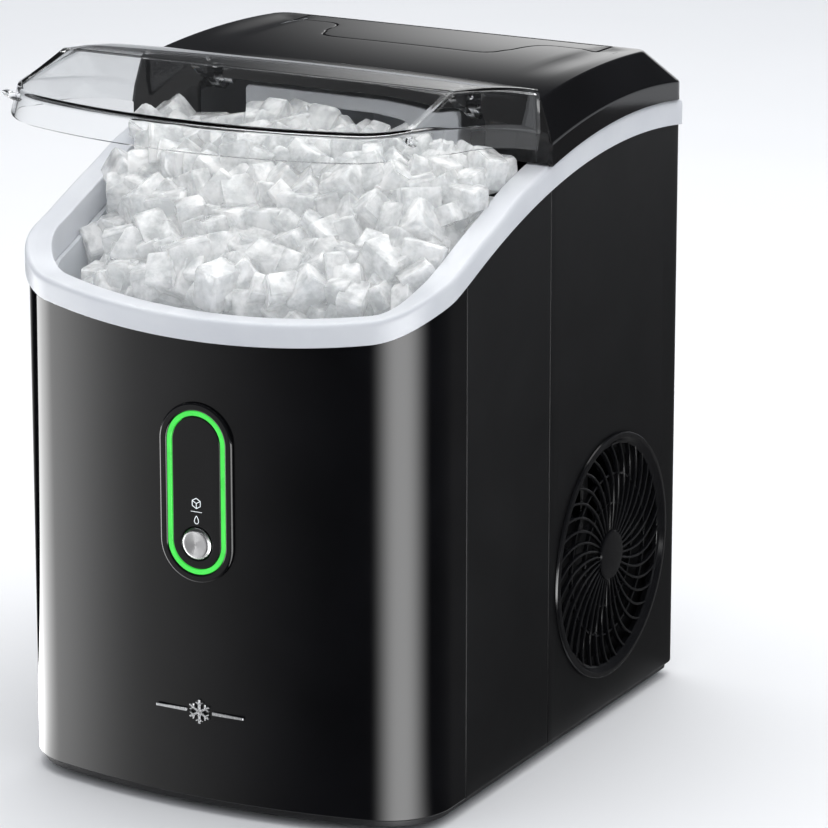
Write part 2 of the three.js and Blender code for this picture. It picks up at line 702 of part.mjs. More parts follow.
// ---------- side vents, fan and condenser ----------
function ventGrille() {
  const { radius } = VENT;
  const ringProfile = [
    [radius - 7, 0], [radius - 4.6, 0], [radius - 4.6, 4.2], [radius, 4.2], [radius - 1, 6],
    [radius - 7, 4], [radius - 7, 0],
  ];
  const ring = turned('x', ringProfile, 0, 0, 0, 32);
  const hub = rod('x', 14, 4, 2.2, 0, 0, 16);
  const count = 18;
  const vanes = Array.from({ length: count }, (_, i) => {
    const vane = box(0.6, 3.2, -0.8, 0.8, 12, radius - 6);
    return vane.rotateX((i / count) * 2 * Math.PI);
  });
  return join(ring, hub, ...vanes);
}

function placedGrille(side) {
  const outerFace = WIDTH / 2 + GAP - 4.2;
  const grille = ventGrille().translate(outerFace, 0, 0);
  const turnedGrille = side > 0 ? grille : grille.rotateZ(Math.PI);
  return turnedGrille.translate(0, VENT.y, VENT.z);
}

function fanShroud() {
  const plate = box(96, 112, VENT.y - 66, VENT.y + 66, VENT.z - 66, VENT.z + 66);
  const bore = rod('x', 58, 40, 104, VENT.y, VENT.z, 28);
  const corners = [[-1, -1], [-1, 1], [1, -1], [1, 1]].map(([a, b]) => {
    const pocket = box(99, 115, -20, 20, -20, 20);
    return pocket.rotateX(Math.PI / 4).translate(0, VENT.y + a * 68, VENT.z + b * 68);
  });
  const strut = box(93, 96.5, VENT.y - 64, VENT.y + 64, VENT.z - 5, VENT.z + 5);
  const shroud = cut(plate, bore, ...corners);
  return cut(join(shroud, strut), rod('x', 2.4, 20, 95, VENT.y, VENT.z, 12));
}

function fanMotor() {
  const profile = [[0, 0], [20, 0], [22, 2], [22, 20], [18, 24], [0, 24]];
  const can = turned('x', profile, 68.5, VENT.y, VENT.z, 20);
  return join(can, rod('x', 1.7, 14, 98, VENT.y, VENT.z, 12));
}

function fanBlades() {
  const profile = [[2, -1], [14, -1], [16, 1], [16, 9], [13, 11], [2, 11], [2, -1]];
  const hub = turned('x', profile, 98.5, VENT.y, VENT.z, 16);
  const blades = [];
  const count = 7;
  for (let i = 0; i < count; i += 1) {
    const blade = box(-0.8, 0.8, -11, 11, 13, 54).rotateZ(0.35).translate(104, 0, 0);
    blades.push(blade.rotateX((i / count) * 2 * Math.PI).translate(0, VENT.y, VENT.z));
  }
  return join(hub, ...blades);
}

function condenser() {
  const pieces = [box(46, 62, VENT.y - 56, VENT.y + 56, VENT.z - 62, VENT.z - 60)];
  pieces.push(box(46, 62, VENT.y - 56, VENT.y + 56, VENT.z + 60, VENT.z + 62));
  const fins = 10;
  for (let i = 0; i < fins; i += 1) {
    const y = VENT.y - 54 + i * (108 / (fins - 1));
    pieces.push(box(46.5, 61.5, y - 0.9, y + 0.9, VENT.z - 61, VENT.z + 61));
  }
  return join(...pieces);
}

// ---------- compressor and refrigerant circuit ----------
function compressor() {
  const profile = [
    [0, 0], [36, 0], [44, 12], [44, 62], [46, 64], [46, 67], [43, 70], [43, 96], [30, 113], [0, 119],
  ];
  return turned('z', profile, COMPRESSOR.x, COMPRESSOR.y, COMPRESSOR.footZ, 24);
}

// Compressor to condenser.
function hotGasLine() {
  const { x, y, domeZ } = COMPRESSOR;
  const route = [
    [x + 22, y, domeZ - 1.4], [x + 24, y, domeZ + 18], [x + 44, y + 14, domeZ + 42], [10, 262, 172],
    [46, 250, 166], [54, 232, 153], [54, VENT.y, VENT.z + 63.5],
  ];
  return pipe(route, 2.5, 24, 6);
}

// Evaporator back to compressor.
function suctionLine() {
  const { x, y, domeZ } = COMPRESSOR;
  const route = [
    [x, y, domeZ + 2.2], [x, y - 4, domeZ + 34], [-50, 225, 190], [-42, 205, 214],
    [AUGER.x - 36.6, AUGER.y + 4, 216],
  ];
  return pipe(route, 3, 18, 6);
}

function filterDrier() {
  const profile = [[0, 0], [3, 0], [3, 6], [9, 12], [9, 52], [3, 58], [3, 64], [0, 64]];
  return turned('z', profile, 24, 268, 60, 20);
}

// ---------- auger ice head ----------
function gearMotor() {
  const profile = [[0, 0], [27, 0], [29, 2], [29, 52], [22, 56], [22, 62], [0, 62]];
  const can = turned('z', profile, AUGER.x, AUGER.y, 4, 20);
  const gearbox = box(AUGER.x - 26, AUGER.x + 26, AUGER.y - 26, AUGER.y + 26, 66, 96);
  return join(can, gearbox);
}

function evaporatorBarrel() {
  const profile = [
    [24.5, 0], [34, 0], [34, 6], [30, 8], [30, 112], [34, 114], [34, 120], [24.5, 120], [24.5, 0],
  ];
  return turned('z', profile, AUGER.x, AUGER.y, 110, 24);
}

function augerScrew() {
  const turns = 4;
  const stepsPerTurn = 12;
  const start = 116;
  const rise = 98;
  const sections = [];
  for (let i = 0; i <= turns * stepsPerTurn; i += 1) {
    const angle = (i / stepsPerTurn) * 2 * Math.PI;
    const z = start + rise * (i / (turns * stepsPerTurn));
    const at = (radius, lift) => {
      return new THREE.Vector3(radius * Math.cos(angle), radius * Math.sin(angle), z + lift);
    };
    sections.push([at(10, -2.2), at(23, -1), at(23, 1), at(10, 2.2)]);
  }
  const flight = loft(sections).translate(AUGER.x, AUGER.y, 0);
  const core = rod('z', 12, 118, AUGER.x, AUGER.y, 171, 16);
  const shaft = rod('z', 6, 26, AUGER.x, AUGER.y, 110, 12);
  return join(flight, core, shaft);
}

function extruderHead() {
  const profile = [[13, 0], [34, 0], [34, 18], [26, 24], [13, 24], [13, 0]];
  const body = turned('z', profile, AUGER.x, AUGER.y, 230.4, 24);
  const count = 6;
  const holes = Array.from({ length: count }, (_, i) => {
    const angle = (i / count) * 2 * Math.PI;
    return rod('z', 4, 60, AUGER.x + 20 * Math.cos(angle), AUGER.y + 20 * Math.sin(angle), 244, 8);
  });
  return cut(body, ...holes);
}

function iceChute() {
  const face = box(-58, 66, 152.5, 156, 291, 336);
  const duct = box(-20, 41, 155, 222, 256, 332);
  const throat = box(-16.5, 37.5, 150, 218.5, 292, 328.5);
  const ramp = prism('x', [[150, 292.5], [218.5, 250], [218.5, 300], [150, 300]], -16.5, 37.5);
  const mouth = rod('z', 26.5, 60, AUGER.x, AUGER.y, 275, 24);
  const drop = prism('x', [[158, 250], [212, 250], [158, 284]], -30, 60);
  return cut(join(face, duct), throat, ramp, mouth, drop);
}

function binFullSensor() {
  return join(box(-40, -26, 148.6, 152.2, 300, 312), rod('y', 3, 3, -33, 147.6, 306, 16));
}

// ---------- water system ----------
const TANK = { inset: 9, floorZ: 4, topZ: 92, backY: 146 };

function waterTank() {
  const { inset, floorZ, topZ, backY } = TANK;
  const { x, z, bore } = HOSE_SOCKET;
  const cup = loft([
    level(frontLoop(inset + 3, backY - 2), floorZ),
    level(frontLoop(inset, backY), floorZ + 6),
    level(frontLoop(inset, backY), topZ),
    level(frontLoop(inset + WALL, backY - WALL), topZ),
    level(frontLoop(inset + WALL, backY - WALL), floorZ + 8),
    level(frontLoop(inset + 3 + WALL, backY - 2 - WALL), floorZ + WALL),
  ]);
  const socket = rod('y', bore + 2.5, 9, x, backY + 3.5, z, 20);
  return cut(join(cup, socket), rod('y', bore, 40, x, backY, z, 20));
}

function tankLid() {
  return prism('z', frontLoop(TANK.inset, TANK.backY), TANK.topZ + GAP, TANK.topZ + GAP + 3);
}

function fillFunnel() {
  const ring = (width, length, z, y) => shifted(roundedRectangle(width, length, 8, 3), 0, y)
    .map(([a, b]) => new THREE.Vector3(a - 10, b, z));
  const y = 249;
  return loft([
    ring(24, 24, 262, y), ring(28, 28, 290, y), ring(100, 50, 322, y), ring(100, 50, 335, y),
    ring(96, 46, 335, y), ring(96, 46, 323, y), ring(23, 23, 291, y), ring(19, 19, 262, y),
  ], true);
}

function fillHose() {
  const { x, z } = HOSE_SOCKET;
  const route = [
    [-10, 249, 261.5], [-10, 249, 240], [-40, 244, 205], [-92, 226, 166], [-99, 206, 130],
    [x, 176, 84], [x, TANK.backY + 9, z], [x, 148, z],
  ];
  return pipe(route, 8.5, 22, 10);
}

function waterPump() {
  const body = box(-104, -70, 160, 188, 1.5, 26);
  const head = turned('z', [[0, 0], [15, 0], [15, 10], [0, 10]], -87, 174, 26, 24);
  return join(body, head, rod('x', 3, 12, -67, 174, 14, 12));
}

// ---------- electrics, drain and screws ----------
function mainBoard() {
  const board = box(-104, -56, 303, 304.6, 150, 262);
  const places = [[-92, 240], [-72, 240], [-92, 214]];
  const relays = places.map(([x, z]) => box(x - 7, x + 7, 290, 303.5, z - 8, z + 8));
  const capacitor = rod('y', 9, 24, -70, 291.5, 176, 20);
  return join(board, ...relays, capacitor);
}

function powerInlet() {
  const body = box(-93.6, -66.4, DEPTH - 16, DEPTH, 28.4, 51.6);
  const neck = box(-93, -67, DEPTH - 1, DEPTH + 1.5, 29, 51);
  const flange = box(-99, -61, DEPTH + GAP, DEPTH + 2, 25, 55);
  const socket = box(-91, -69, DEPTH - 12, DEPTH + 5, 31, 49);
  const places = [[-80, 45], [-86, 36], [-74, 36]];
  const pins = places.map(([x, z]) => box(x - 1, x + 1, DEPTH - 14, DEPTH - 8, z - 2, z + 2));
  return join(cut(join(body, neck, flange), socket), ...pins);
}

function drainPlug() {
  const profile = [[0, 0], [11, 0], [11, 3], [9, 5], [4, 5], [4, 9], [0, 9]];
  const cap = turned('y', profile, 70, DEPTH + GAP, 24, 20);
  return join(cap, rod('y', 8.8, 14, 70, DEPTH - 6, 24, 16));
}

function screw(x, z) {
  return turned('y', [[0, 0], [3.8, 0], [3.4, 1.2], [2, 2], [0, 2]], x, DEPTH + GAP, z, 12);
}

// ---------- assembly ----------
add('base_tray', baseTray(), MATTE_BLACK());
for (const [end, y] of [['front', 46], ['rear', 282]]) {
  add(`foot_${end}_left`, foot(-88, y), RUBBER());
  add(`foot_${end}_right`, foot(88, y), RUBBER());
}
add('front_shell', frontShell(), GLOSS_BLACK());
add('side_panel_left', sidePanel(-1), MATTE_BLACK());
add('side_panel_right', sidePanel(1), MATTE_BLACK());
add('rear_shell', rearShell(), MATTE_BLACK());
add('collar', collar(), WHITE());
add('bin_liner', binLiner(), WHITE());
add('bin_insulation', binInsulation(), FOAM());

add('clear_lid', openLid(clearLid()), CLEAR());
add('lid_pin_left', rod('x', LID_HINGE.pin, 18, -76, LID_HINGE.y, LID_HINGE.z, 20), STEEL());
add('lid_pin_right', rod('x', LID_HINGE.pin, 18, 76, LID_HINGE.y, LID_HINGE.z, 20), STEEL());
add('top_cover', topCover(), GLOSS_BLACK());
add('refill_flap', refillFlap(), GLOSS_BLACK());
add('refill_pin', refillPin(), STEEL());

add('control_bezel', controlBezel(), GLOSS_BLACK());
add('light_ring', panelRing(33.4, 85.4, 28.4, 80.4, -1.4, 2.6), GREEN_LIGHT());
add('display_window', displayWindow(), GLOSS_BLACK());
add('start_button', startButton(), STEEL());
add('button_spring', buttonSpring(), STEEL());
add('control_board', controlBoard(), BOARD());
add('control_housing', controlHousing(), MATTE_BLACK());
add('front_emblem', frontEmblem(), material(0xc9cbce, 0.35, 0.6));

add('vent_grille_right', placedGrille(1), GLOSS_BLACK());
add('vent_grille_left', placedGrille(-1), GLOSS_BLACK());
add('fan_shroud', fanShroud(), MATTE_BLACK());
add('fan_motor', fanMotor(), STEEL());
add('fan_blades', fanBlades(), MATTE_BLACK());
add('condenser', condenser(), material(0xa9adb0, 0.45, 0.9));

add('compressor', compressor(), GLOSS_BLACK());
add('hot_gas_line', hotGasLine(), COPPER());
add('suction_line', suctionLine(), COPPER());
add('filter_drier', filterDrier(), COPPER());

add('gear_motor', gearMotor(), STEEL());
add('evaporator_barrel', evaporatorBarrel(), STEEL());
add('auger', augerScrew(), STEEL());
add('extruder_head', extruderHead(), STEEL());
add('ice_chute', iceChute(), WHITE());
add('bin_full_sensor', binFullSensor(), MATTE_BLACK());

add('water_tank', waterTank(), WHITE());
add('tank_lid', tankLid(), WHITE());
add('fill_funnel', fillFunnel(), WHITE());
add('fill_hose', fillHose(), material(0xd0d4d2, 0.5));
add('water_pump', waterPump(), MATTE_BLACK());

add('main_board', mainBoard(), BOARD());
add('power_inlet', powerInlet(), MATTE_BLACK());
add('drain_plug', drainPlug(), RUBBER());
add('back_screw_upper_left', screw(-104, 280), STEEL());
add('back_screw_upper_right', screw(104, 280), STEEL());
add('back_screw_lower_left', screw(-104, 12), STEEL());
add('back_screw_lower_right', screw(104, 12), STEEL());

// The frame's origin is the middle of the whole model's box, on the surface it stands on.
const bounds = new THREE.Box3().setFromObject(root, true);
root.position.set(0, -(bounds.min.y + bounds.max.y) / 2, FOOT_HEIGHT);

export default root;
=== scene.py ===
"""Nugget ice maker: detailed pieces, materials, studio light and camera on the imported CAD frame.

Lengths in the shape functions are millimetres, measured from the middle of the front face at the
body's lower edge: +X to the right, +Y to the back, +Z up. The function at() turns them into the frame.
"""
import json
import math
import random

import bmesh
import bpy
from mathutils import Matrix, Vector, noise
from mathutils.geometry import delaunay_2d_cdt


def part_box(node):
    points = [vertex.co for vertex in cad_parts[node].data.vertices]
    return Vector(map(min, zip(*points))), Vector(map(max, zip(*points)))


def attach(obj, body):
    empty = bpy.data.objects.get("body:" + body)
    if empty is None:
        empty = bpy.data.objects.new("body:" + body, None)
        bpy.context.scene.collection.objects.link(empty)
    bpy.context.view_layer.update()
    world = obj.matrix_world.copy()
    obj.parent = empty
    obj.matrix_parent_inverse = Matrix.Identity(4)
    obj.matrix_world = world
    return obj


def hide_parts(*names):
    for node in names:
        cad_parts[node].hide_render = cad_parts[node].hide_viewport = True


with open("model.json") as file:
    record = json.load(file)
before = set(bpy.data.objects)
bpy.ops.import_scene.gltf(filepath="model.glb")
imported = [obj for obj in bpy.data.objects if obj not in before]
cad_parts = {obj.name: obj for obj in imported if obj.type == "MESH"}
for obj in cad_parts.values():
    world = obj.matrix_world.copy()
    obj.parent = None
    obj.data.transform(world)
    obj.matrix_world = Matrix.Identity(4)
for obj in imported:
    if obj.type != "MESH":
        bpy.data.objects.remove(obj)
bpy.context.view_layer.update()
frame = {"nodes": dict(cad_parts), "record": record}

SHELL_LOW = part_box("front_shell")[0]
ORIGIN = Vector((0.0, SHELL_LOW.y, SHELL_LOW.z))
SCENE = bpy.context.scene


def at(x, y, z):
    return Vector((x, y, z)) * 0.001 + ORIGIN


# ---------------------------------------------------------------- driving dimensions
WIDTH = 240.0
DEPTH = 315.0
ARC_R = 390.0
CORNER_R = 37.0
REAR_R = 10.0
WALL = 2.5
FRONT_SEAM = 62.0
REAR_SEAM = 155.0
HALF_SEAM = 0.25
CORNER_X = WIDTH / 2 - CORNER_R
CORNER_Y = ARC_R - math.sqrt((ARC_R - CORNER_R) ** 2 - CORNER_X ** 2)
TURN = math.atan2(CORNER_X, ARC_R - CORNER_Y)
PANEL_Z = 163.0
BUTTON_Z = 136.4
VENT_Y, VENT_Z, VENT_R = 229.0, 84.0, 67.0
LID_HINGE_Y, LID_HINGE_Z, LID_OPEN = 156.75, 337.0, math.radians(28.2)
BODY = "cabinet"


def smooth(t):
    t = min(max(t, 0.0), 1.0)
    return t * t * (3 - 2 * t)


def rim_z(y):
    return 309.0 - 67.5 * ((240.0 - y) / 240.0) ** 2 + 3.0 * math.exp(-(((y - 30.0) / 18.0) ** 2))


# ---------------------------------------------------------------- mesh helpers
def link_up(name, data):
    """Puts a mesh, a light or a camera into the scene as an object."""
    obj = bpy.data.objects.new(name, data)
    SCENE.collection.objects.link(obj)
    return obj


def new_mesh(name, verts, faces):
    """A clean mesh from vertices (already in the frame) and faces."""
    mesh = bpy.data.meshes.new(name)
    bm = bmesh.new()
    points = [bm.verts.new(v) for v in verts]
    for face in faces:
        corners = []
        for i in face:
            if not corners or points[i] is not corners[-1]:
                corners.append(points[i])
        try:
            bm.faces.new(corners)
        except ValueError:
            pass
    bmesh.ops.remove_doubles(bm, verts=bm.verts, dist=3e-6)
    bmesh.ops.dissolve_degenerate(bm, edges=bm.edges, dist=1e-6)
    bmesh.ops.recalc_face_normals(bm, faces=bm.faces)
    bm.to_mesh(mesh)
    bm.free()
    return mesh


def shade(obj, degrees):
    """Smooth shading, with edges sharper than an angle kept crisp."""
    obj.data.shade_smooth()
    obj.data.set_sharp_from_angle(angle=math.radians(degrees))


def make(name, verts, faces, finish, body=BODY, slot=None, stands_for=(), sharp=32, weighted=True):
    """A finished piece on its body, with the CAD nodes it stands for. The slot argument is not used."""
    obj = link_up(name, new_mesh(name, verts, faces))
    shade(obj, sharp)
    if weighted:
        modifier = obj.modifiers.new("even_shading", "WEIGHTED_NORMAL")
        modifier.keep_sharp = True
        modifier.weight = 80
    obj.data.materials.append(finish)
    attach(obj, body)
    if stands_for:
        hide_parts(*stands_for)
    return obj


def loft(rings, ring=False):
    """Quads between rings of equal size, capped at both ends or closed into a ring."""
    size = len(rings[0])
    verts = [v for r in rings for v in r]
    faces = []
    for k in range(len(rings) if ring else len(rings) - 1):
        a = k * size
        b = ((k + 1) % len(rings)) * size
        for i in range(size):
            j = (i + 1) % size
            faces.append((a + i, a + j, b + j, b + i))
    if not ring:
        faces.append(tuple(reversed(range(size))))
        faces.append(tuple(range(len(verts) - size, len(verts))))
    return verts, faces


def add_mesh(parts):
    """Joins (verts, faces) pairs into one pair."""
    verts, faces = [], []
    for v, f in parts:
        base = len(verts)
        verts.extend(v)
        faces.extend(tuple(base + i for i in face) for face in f)
    return verts, faces


def rounded(points, radius, steps=4, closed=True):
    """A polyline whose corners are replaced by short curves; radius is one number or one for each corner."""
    points = [Vector(p) for p in points]
    count = len(points)
    radii = radius if isinstance(radius, list) else [radius] * count
    out = []
    for i, p in enumerate(points):
        if not closed and i in (0, count - 1):
            out.append(p.copy())
            continue
        a = points[i - 1] - p
        b = points[(i + 1) % count] - p
        ra = min(radii[i], a.length * 0.47)
        rb = min(radii[i], b.length * 0.47)
        s = p + a.normalized() * ra
        e = p + b.normalized() * rb
        for k in range(steps + 1):
            t = k / steps
            out.append(s * (1 - t) ** 2 + p * 2 * t * (1 - t) + e * t * t)
    return out


def turned(profile, axis, centre, steps=96):
    """A solid of revolution from (radius, height) pairs about an axis through a point."""
    rings = []
    for k in range(steps):
        angle = 2 * math.pi * k / steps
        ring = []
        for radius, height in profile:
            a, b = radius * math.cos(angle), radius * math.sin(angle)
            local = {"x": (height, a, b), "y": (b, height, a), "z": (a, b, height)}[axis]
            ring.append(at(*(c + d for c, d in zip(centre, local))))
        rings.append(ring)
    return loft(rings, ring=True)


def section(points, radius, steps=4):
    """A closed outline of pairs with rounded corners."""
    return [(p.x, p.y) for p in rounded([(a, b, 0) for a, b in points], radius, steps)]


def circle(u, v, radius, count):
    turns = [2 * math.pi * i / count for i in range(count)]
    return [(u + radius * math.cos(a), v + radius * math.sin(a)) for a in turns]


def rounded_rect(width, height, radius, steps=6, middle=(0, 0)):
    out = []
    for sx, sz, first in ((1, 1, 0), (-1, 1, 1), (-1, -1, 2), (1, -1, 3)):
        for k in range(steps + 1):
            angle = (first + k / steps) * math.pi / 2
            u = sx * (width / 2 - radius) + radius * math.cos(angle)
            v = sz * (height / 2 - radius) + radius * math.sin(angle)
            out.append((middle[0] + u, middle[1] + v))
    return out


def along_y(loop, *places):
    """Rings that repeat an (x, z) loop at places along Y."""
    return [[at(x, y, z) for x, z in loop] for y in places]


def inside(x, y, loop):
    hit = False
    j = len(loop) - 1
    for i in range(len(loop)):
        (xi, yi), (xj, yj) = loop[i], loop[j]
        if (yi > y) != (yj > y) and x < (xj - xi) * (y - yi) / (yj - yi) + xi:
            hit = not hit
        j = i
    return hit


def area(loop):
    return sum(a[0] * b[1] - b[0] * a[1] for a, b in zip(loop, loop[1:] + loop[:1])) / 2


def offset(loop, distance):
    """Moves a loop to its left by a distance."""
    out = []
    count = len(loop)
    for i, (x, y) in enumerate(loop):
        ax, ay = loop[i - 1]
        bx, by = loop[(i + 1) % count]
        d1 = Vector((x - ax, y - ay)).normalized()
        d2 = Vector((bx - x, by - y)).normalized()
        n = Vector((-d1.y - d2.y, d1.x + d2.x))
        n = n.normalized() if n.length > 1e-9 else Vector((-d1.y, d1.x))
        scale = max(n.dot(Vector((-d1.y, d1.x))), 0.5)
        out.append((x + n.x * distance / scale, y + n.y * distance / scale))
    return out


def plate(outer, holes, place, thickness, fillet=0.6, spacing=4.0, steps=4, outer_fillet=None, walls=True):
    """A sheet with rounded edges over a flat domain. place(u, v, depth) puts a point in the frame."""
    if area(outer) < 0:
        outer = outer[::-1]
    loops = [outer] + [h[::-1] if area(h) > 0 else h for h in holes]
    radii = [fillet if outer_fillet is None else outer_fillet] + [fillet] * len(holes)
    inner = [offset(loop, radius) if radius else loop for loop, radius in zip(loops, radii)]
    flat, edges, cells = [], [], {}
    near = spacing * 0.6
    for loop in inner:
        base = len(flat)
        flat.extend(Vector(p) for p in loop)
        edges.extend((base + i, base + (i + 1) % len(loop)) for i in range(len(loop)))
        for p in loop:
            cells.setdefault((int(p[0] // near), int(p[1] // near)), []).append(p)

    def in_sheet(u, v):
        return inside(u, v, inner[0]) and not any(inside(u, v, hole) for hole in inner[1:])

    def near_edge(u, v):
        a, b = int(u // near), int(v // near)
        return any((q[0] - u) ** 2 + (q[1] - v) ** 2 < near ** 2
                   for i in (-1, 0, 1) for j in (-1, 0, 1) for q in cells.get((a + i, b + j), ()))

    low_u, low_v = (min(p[i] for p in outer) + spacing / 2 for i in (0, 1))
    high_u, high_v = (max(p[i] for p in outer) for i in (0, 1))
    u = low_u
    while u < high_u:
        v = low_v
        while v < high_v:
            if not near_edge(u, v) and in_sheet(u, v):
                flat.append(Vector((u, v)))
            v += spacing
        u += spacing
    points, _, triangles, _, _, _ = delaunay_2d_cdt(flat, edges, [], 0, 1e-7)
    kept = []
    for t in triangles:
        if in_sheet(sum(points[i].x for i in t) / len(t), sum(points[i].y for i in t) / len(t)):
            kept.append(tuple(t))
    verts = [place(p.x, p.y, 0.0) for p in points]
    faces = list(kept)
    if walls:
        low = len(verts)
        verts.extend(place(p.x, p.y, thickness) for p in points)
        faces.extend(tuple(low + i for i in reversed(t)) for t in kept)
    for loop, rim, radius in zip(loops, inner, radii):
        if not radius:
            continue
        chain = []
        if walls:
            chain = [[place(u, v, thickness) for u, v in line] for line in (rim, loop)]
        for k in range(steps + 1):
            angle = (k / steps) * math.pi / 2
            moved = offset(loop, radius * (1 - math.cos(angle)))
            chain.append([place(u, v, radius * (1 - math.sin(angle))) for u, v in moved])
        base = len(verts)
        verts.extend(p for r in chain for p in r)
        size = len(loop)
        for k in range(len(chain) - 1):
            a = base + k * size
            for i in range(size):
                j = (i + 1) % size
                faces.append((a + i, a + j, a + size + j, a + size + i))
    return verts, faces


def upright(y, turn=1):
    """Stands a plate up at y, with its thickness running to the back or, with -1, to the front."""
    return lambda u, v, depth: at(u, y + turn * depth, v)


def apply_modifiers(obj):
    bpy.context.view_layer.update()
    result = bpy.data.meshes.new_from_object(obj.evaluated_get(bpy.context.evaluated_depsgraph_get()))
    obj.modifiers.clear()
    old = obj.data
    obj.data = result
    bpy.data.meshes.remove(old)


def boolean(obj, cutters):
    """Cuts solids out of a piece. Each cutter is (verts, faces)."""
    for verts, faces in cutters:
        tool = link_up("cutter", new_mesh("cutter", verts, faces))
        modifier = obj.modifiers.new("cut", "BOOLEAN")
        modifier.operation = "DIFFERENCE"
        modifier.solver = "EXACT"
        modifier.object = tool
        apply_modifiers(obj)
        mesh = tool.data
        bpy.data.objects.remove(tool)
        bpy.data.meshes.remove(mesh)
    shade(obj, 32)


def block(x0, x1, y0, y1, z0, z1, radius):
    """A bar along Y between two corners, with the edges along Y rounded."""
    middle = ((x0 + x1) / 2, (z0 + z1) / 2)
    return loft(along_y(rounded_rect(x1 - x0, z1 - z0, radius, 5, middle), y0, y1))


# ---------------------------------------------------------------- the body's outline in plan
def spot(station, inset):
    """The plan position of a station on the outline, moved in by the inset."""
    kind, value, side = station
    if kind == "arc":
        r = ARC_R - inset
        return side * r * math.sin(value), ARC_R - r * math.cos(value)
    if kind == "corner":
        r = CORNER_R - inset
        return side * (CORNER_X + r * math.sin(value)), CORNER_Y - r * math.cos(value)
    if kind == "side":
        return side * (WIDTH / 2 - inset), value
    r = max(REAR_R - inset, 0.8)
    if kind == "rear":
        return (side * (WIDTH / 2 - inset - r + r * math.cos(value)),
                DEPTH - inset - r + r * math.sin(value))
    return side * (WIDTH / 2 - inset - r) * value, DEPTH - inset


def front_run(end_y, steps=10):
    run = [("arc", TURN * i / 40) for i in range(41)]
    run += [("corner", TURN + (math.pi / 2 - TURN) * i / 32) for i in range(1, 33)]
    run += [("side", CORNER_Y + (end_y - CORNER_Y) * i / steps) for i in range(1, steps + 1)]
    return run


def rear_run(steps=12):
    run = [("rear", math.pi / 2 * i / 10) for i in range(0, 11)]
    run += [("back", 1 - i / steps) for i in range(1, steps + 1)]
    return run


def on_side(run, side):
    return [(kind, value, side) for kind, value in run]


def both(run):
    """Right side first, through the middle station, then the left side."""
    return on_side(run, 1)[::-1] + on_side(run, -1)[1:]


def ends(y, low, high, radius=0.6):
    """How far a seam edge is rounded off at y. A missing end is None."""
    d = min(abs(y - end) if end is not None else radius for end in (low, high))
    return radius - math.sqrt(max(radius ** 2 - max(radius - d, 0.0) ** 2, 0.0))


def close_stations(start, stop, count):
    """Even steps with extra ones close to both ends, for rounded seam edges."""
    fine = [0.0, 0.05, 0.15, 0.35, 0.6]
    body = [start + 0.6 + (stop - start - 1.2) * i / count for i in range(1, count)]
    return [start + f for f in fine] + body + [stop - f for f in reversed(fine)]


def shell_ring(station, low, high, levels):
    """One cross-section of a standing wall with a rounded lower edge."""
    y0 = spot(station, 0)[1]
    cut = ends(y0, low, high) if station[0] == "side" else 0.0
    top = rim_z(y0)
    section = [(WALL, 0.0), (1.0, 0.0), (0.5, 0.13), (0.13, 0.5), (0.0, 1.0)]
    section += [(0.0, z) for z in levels]
    section += [(0.0, top), (WALL, top)]
    section += [(WALL, z) for z in reversed(levels)]
    ring = []
    for inset, z in section:
        x, y = spot(station, inset + (cut if inset < WALL else 0))
        ring.append(at(x, y, z))
    return ring


# ---------------------------------------------------------------- materials
def new_material(name):
    material = bpy.data.materials.new(name)
    material.use_nodes = True
    return material, material.node_tree, material.node_tree.nodes["Principled BSDF"]


def feed(tree, node, inputs):
    """Sets a node's inputs, each to a constant or to another node's output."""
    for name, value in inputs.items():
        if isinstance(value, bpy.types.NodeSocket):
            tree.links.new(value, node.inputs[name])
        else:
            node.inputs[name].default_value = value


def add_node(tree, kind, **inputs):
    """A new shader node. Underlines in the names of its inputs stand for spaces."""
    node = tree.nodes.new("ShaderNode" + kind)
    feed(tree, node, {name.replace("_", " "): value for name, value in inputs.items()})
    return node


def here(tree):
    """The place on the object."""
    return add_node(tree, "TexCoord").outputs["Object"]


def grain(tree, scale, detail=3.0, stretch=None):
    """A noise value over the object, with features of about 1/scale metres."""
    source = here(tree)
    if stretch:
        source = add_node(tree, "Mapping", Vector=source, Scale=stretch).outputs["Vector"]
    return add_node(tree, "TexNoise", Vector=source, Scale=scale, Detail=detail).outputs["Fac"]


def span(tree, value, low, high, from_low=0.3, from_high=0.7, curve="LINEAR"):
    """Maps a value from one range to another, and keeps it there."""
    node = add_node(tree, "MapRange", Value=value, From_Min=from_low, From_Max=from_high,
                    To_Min=low, To_Max=high)
    node.interpolation_type = curve
    return node.outputs["Result"]


def tint(tree, value, dark, light):
    node = add_node(tree, "ValToRGB", Fac=value)
    for stop, position, colour in zip(node.color_ramp.elements, (0.3, 0.7), (dark, light)):
        stop.position = position
        stop.color = (*colour, 1)
    return node.outputs["Color"]


def bump(tree, shader, value, height, strength=1.0):
    node = add_node(tree, "Bump", Height=value, Distance=height, Strength=strength)
    feed(tree, shader, {"Normal": node.outputs["Normal"]})


def plastic(name, dark, light, rough, patch, pore, height, specular, soft=0.0):
    """Moulded plastic: slight cloudiness in colour, uneven polish and a fine surface grain."""
    material, tree, shader = new_material(name)
    cloud = grain(tree, patch, 4.0)
    feed(tree, shader, {
        "Base Color": tint(tree, cloud, dark, light),
        "Roughness": span(tree, cloud, *rough),
        "Specular IOR Level": specular,
    })
    if soft:
        feed(tree, shader, {
            "Subsurface Weight": soft,
            "Subsurface Radius": (0.004, 0.004, 0.004),
            "Subsurface Scale": 1.0,
        })
    bump(tree, shader, grain(tree, pore, 2.0), height, 0.6)
    return material


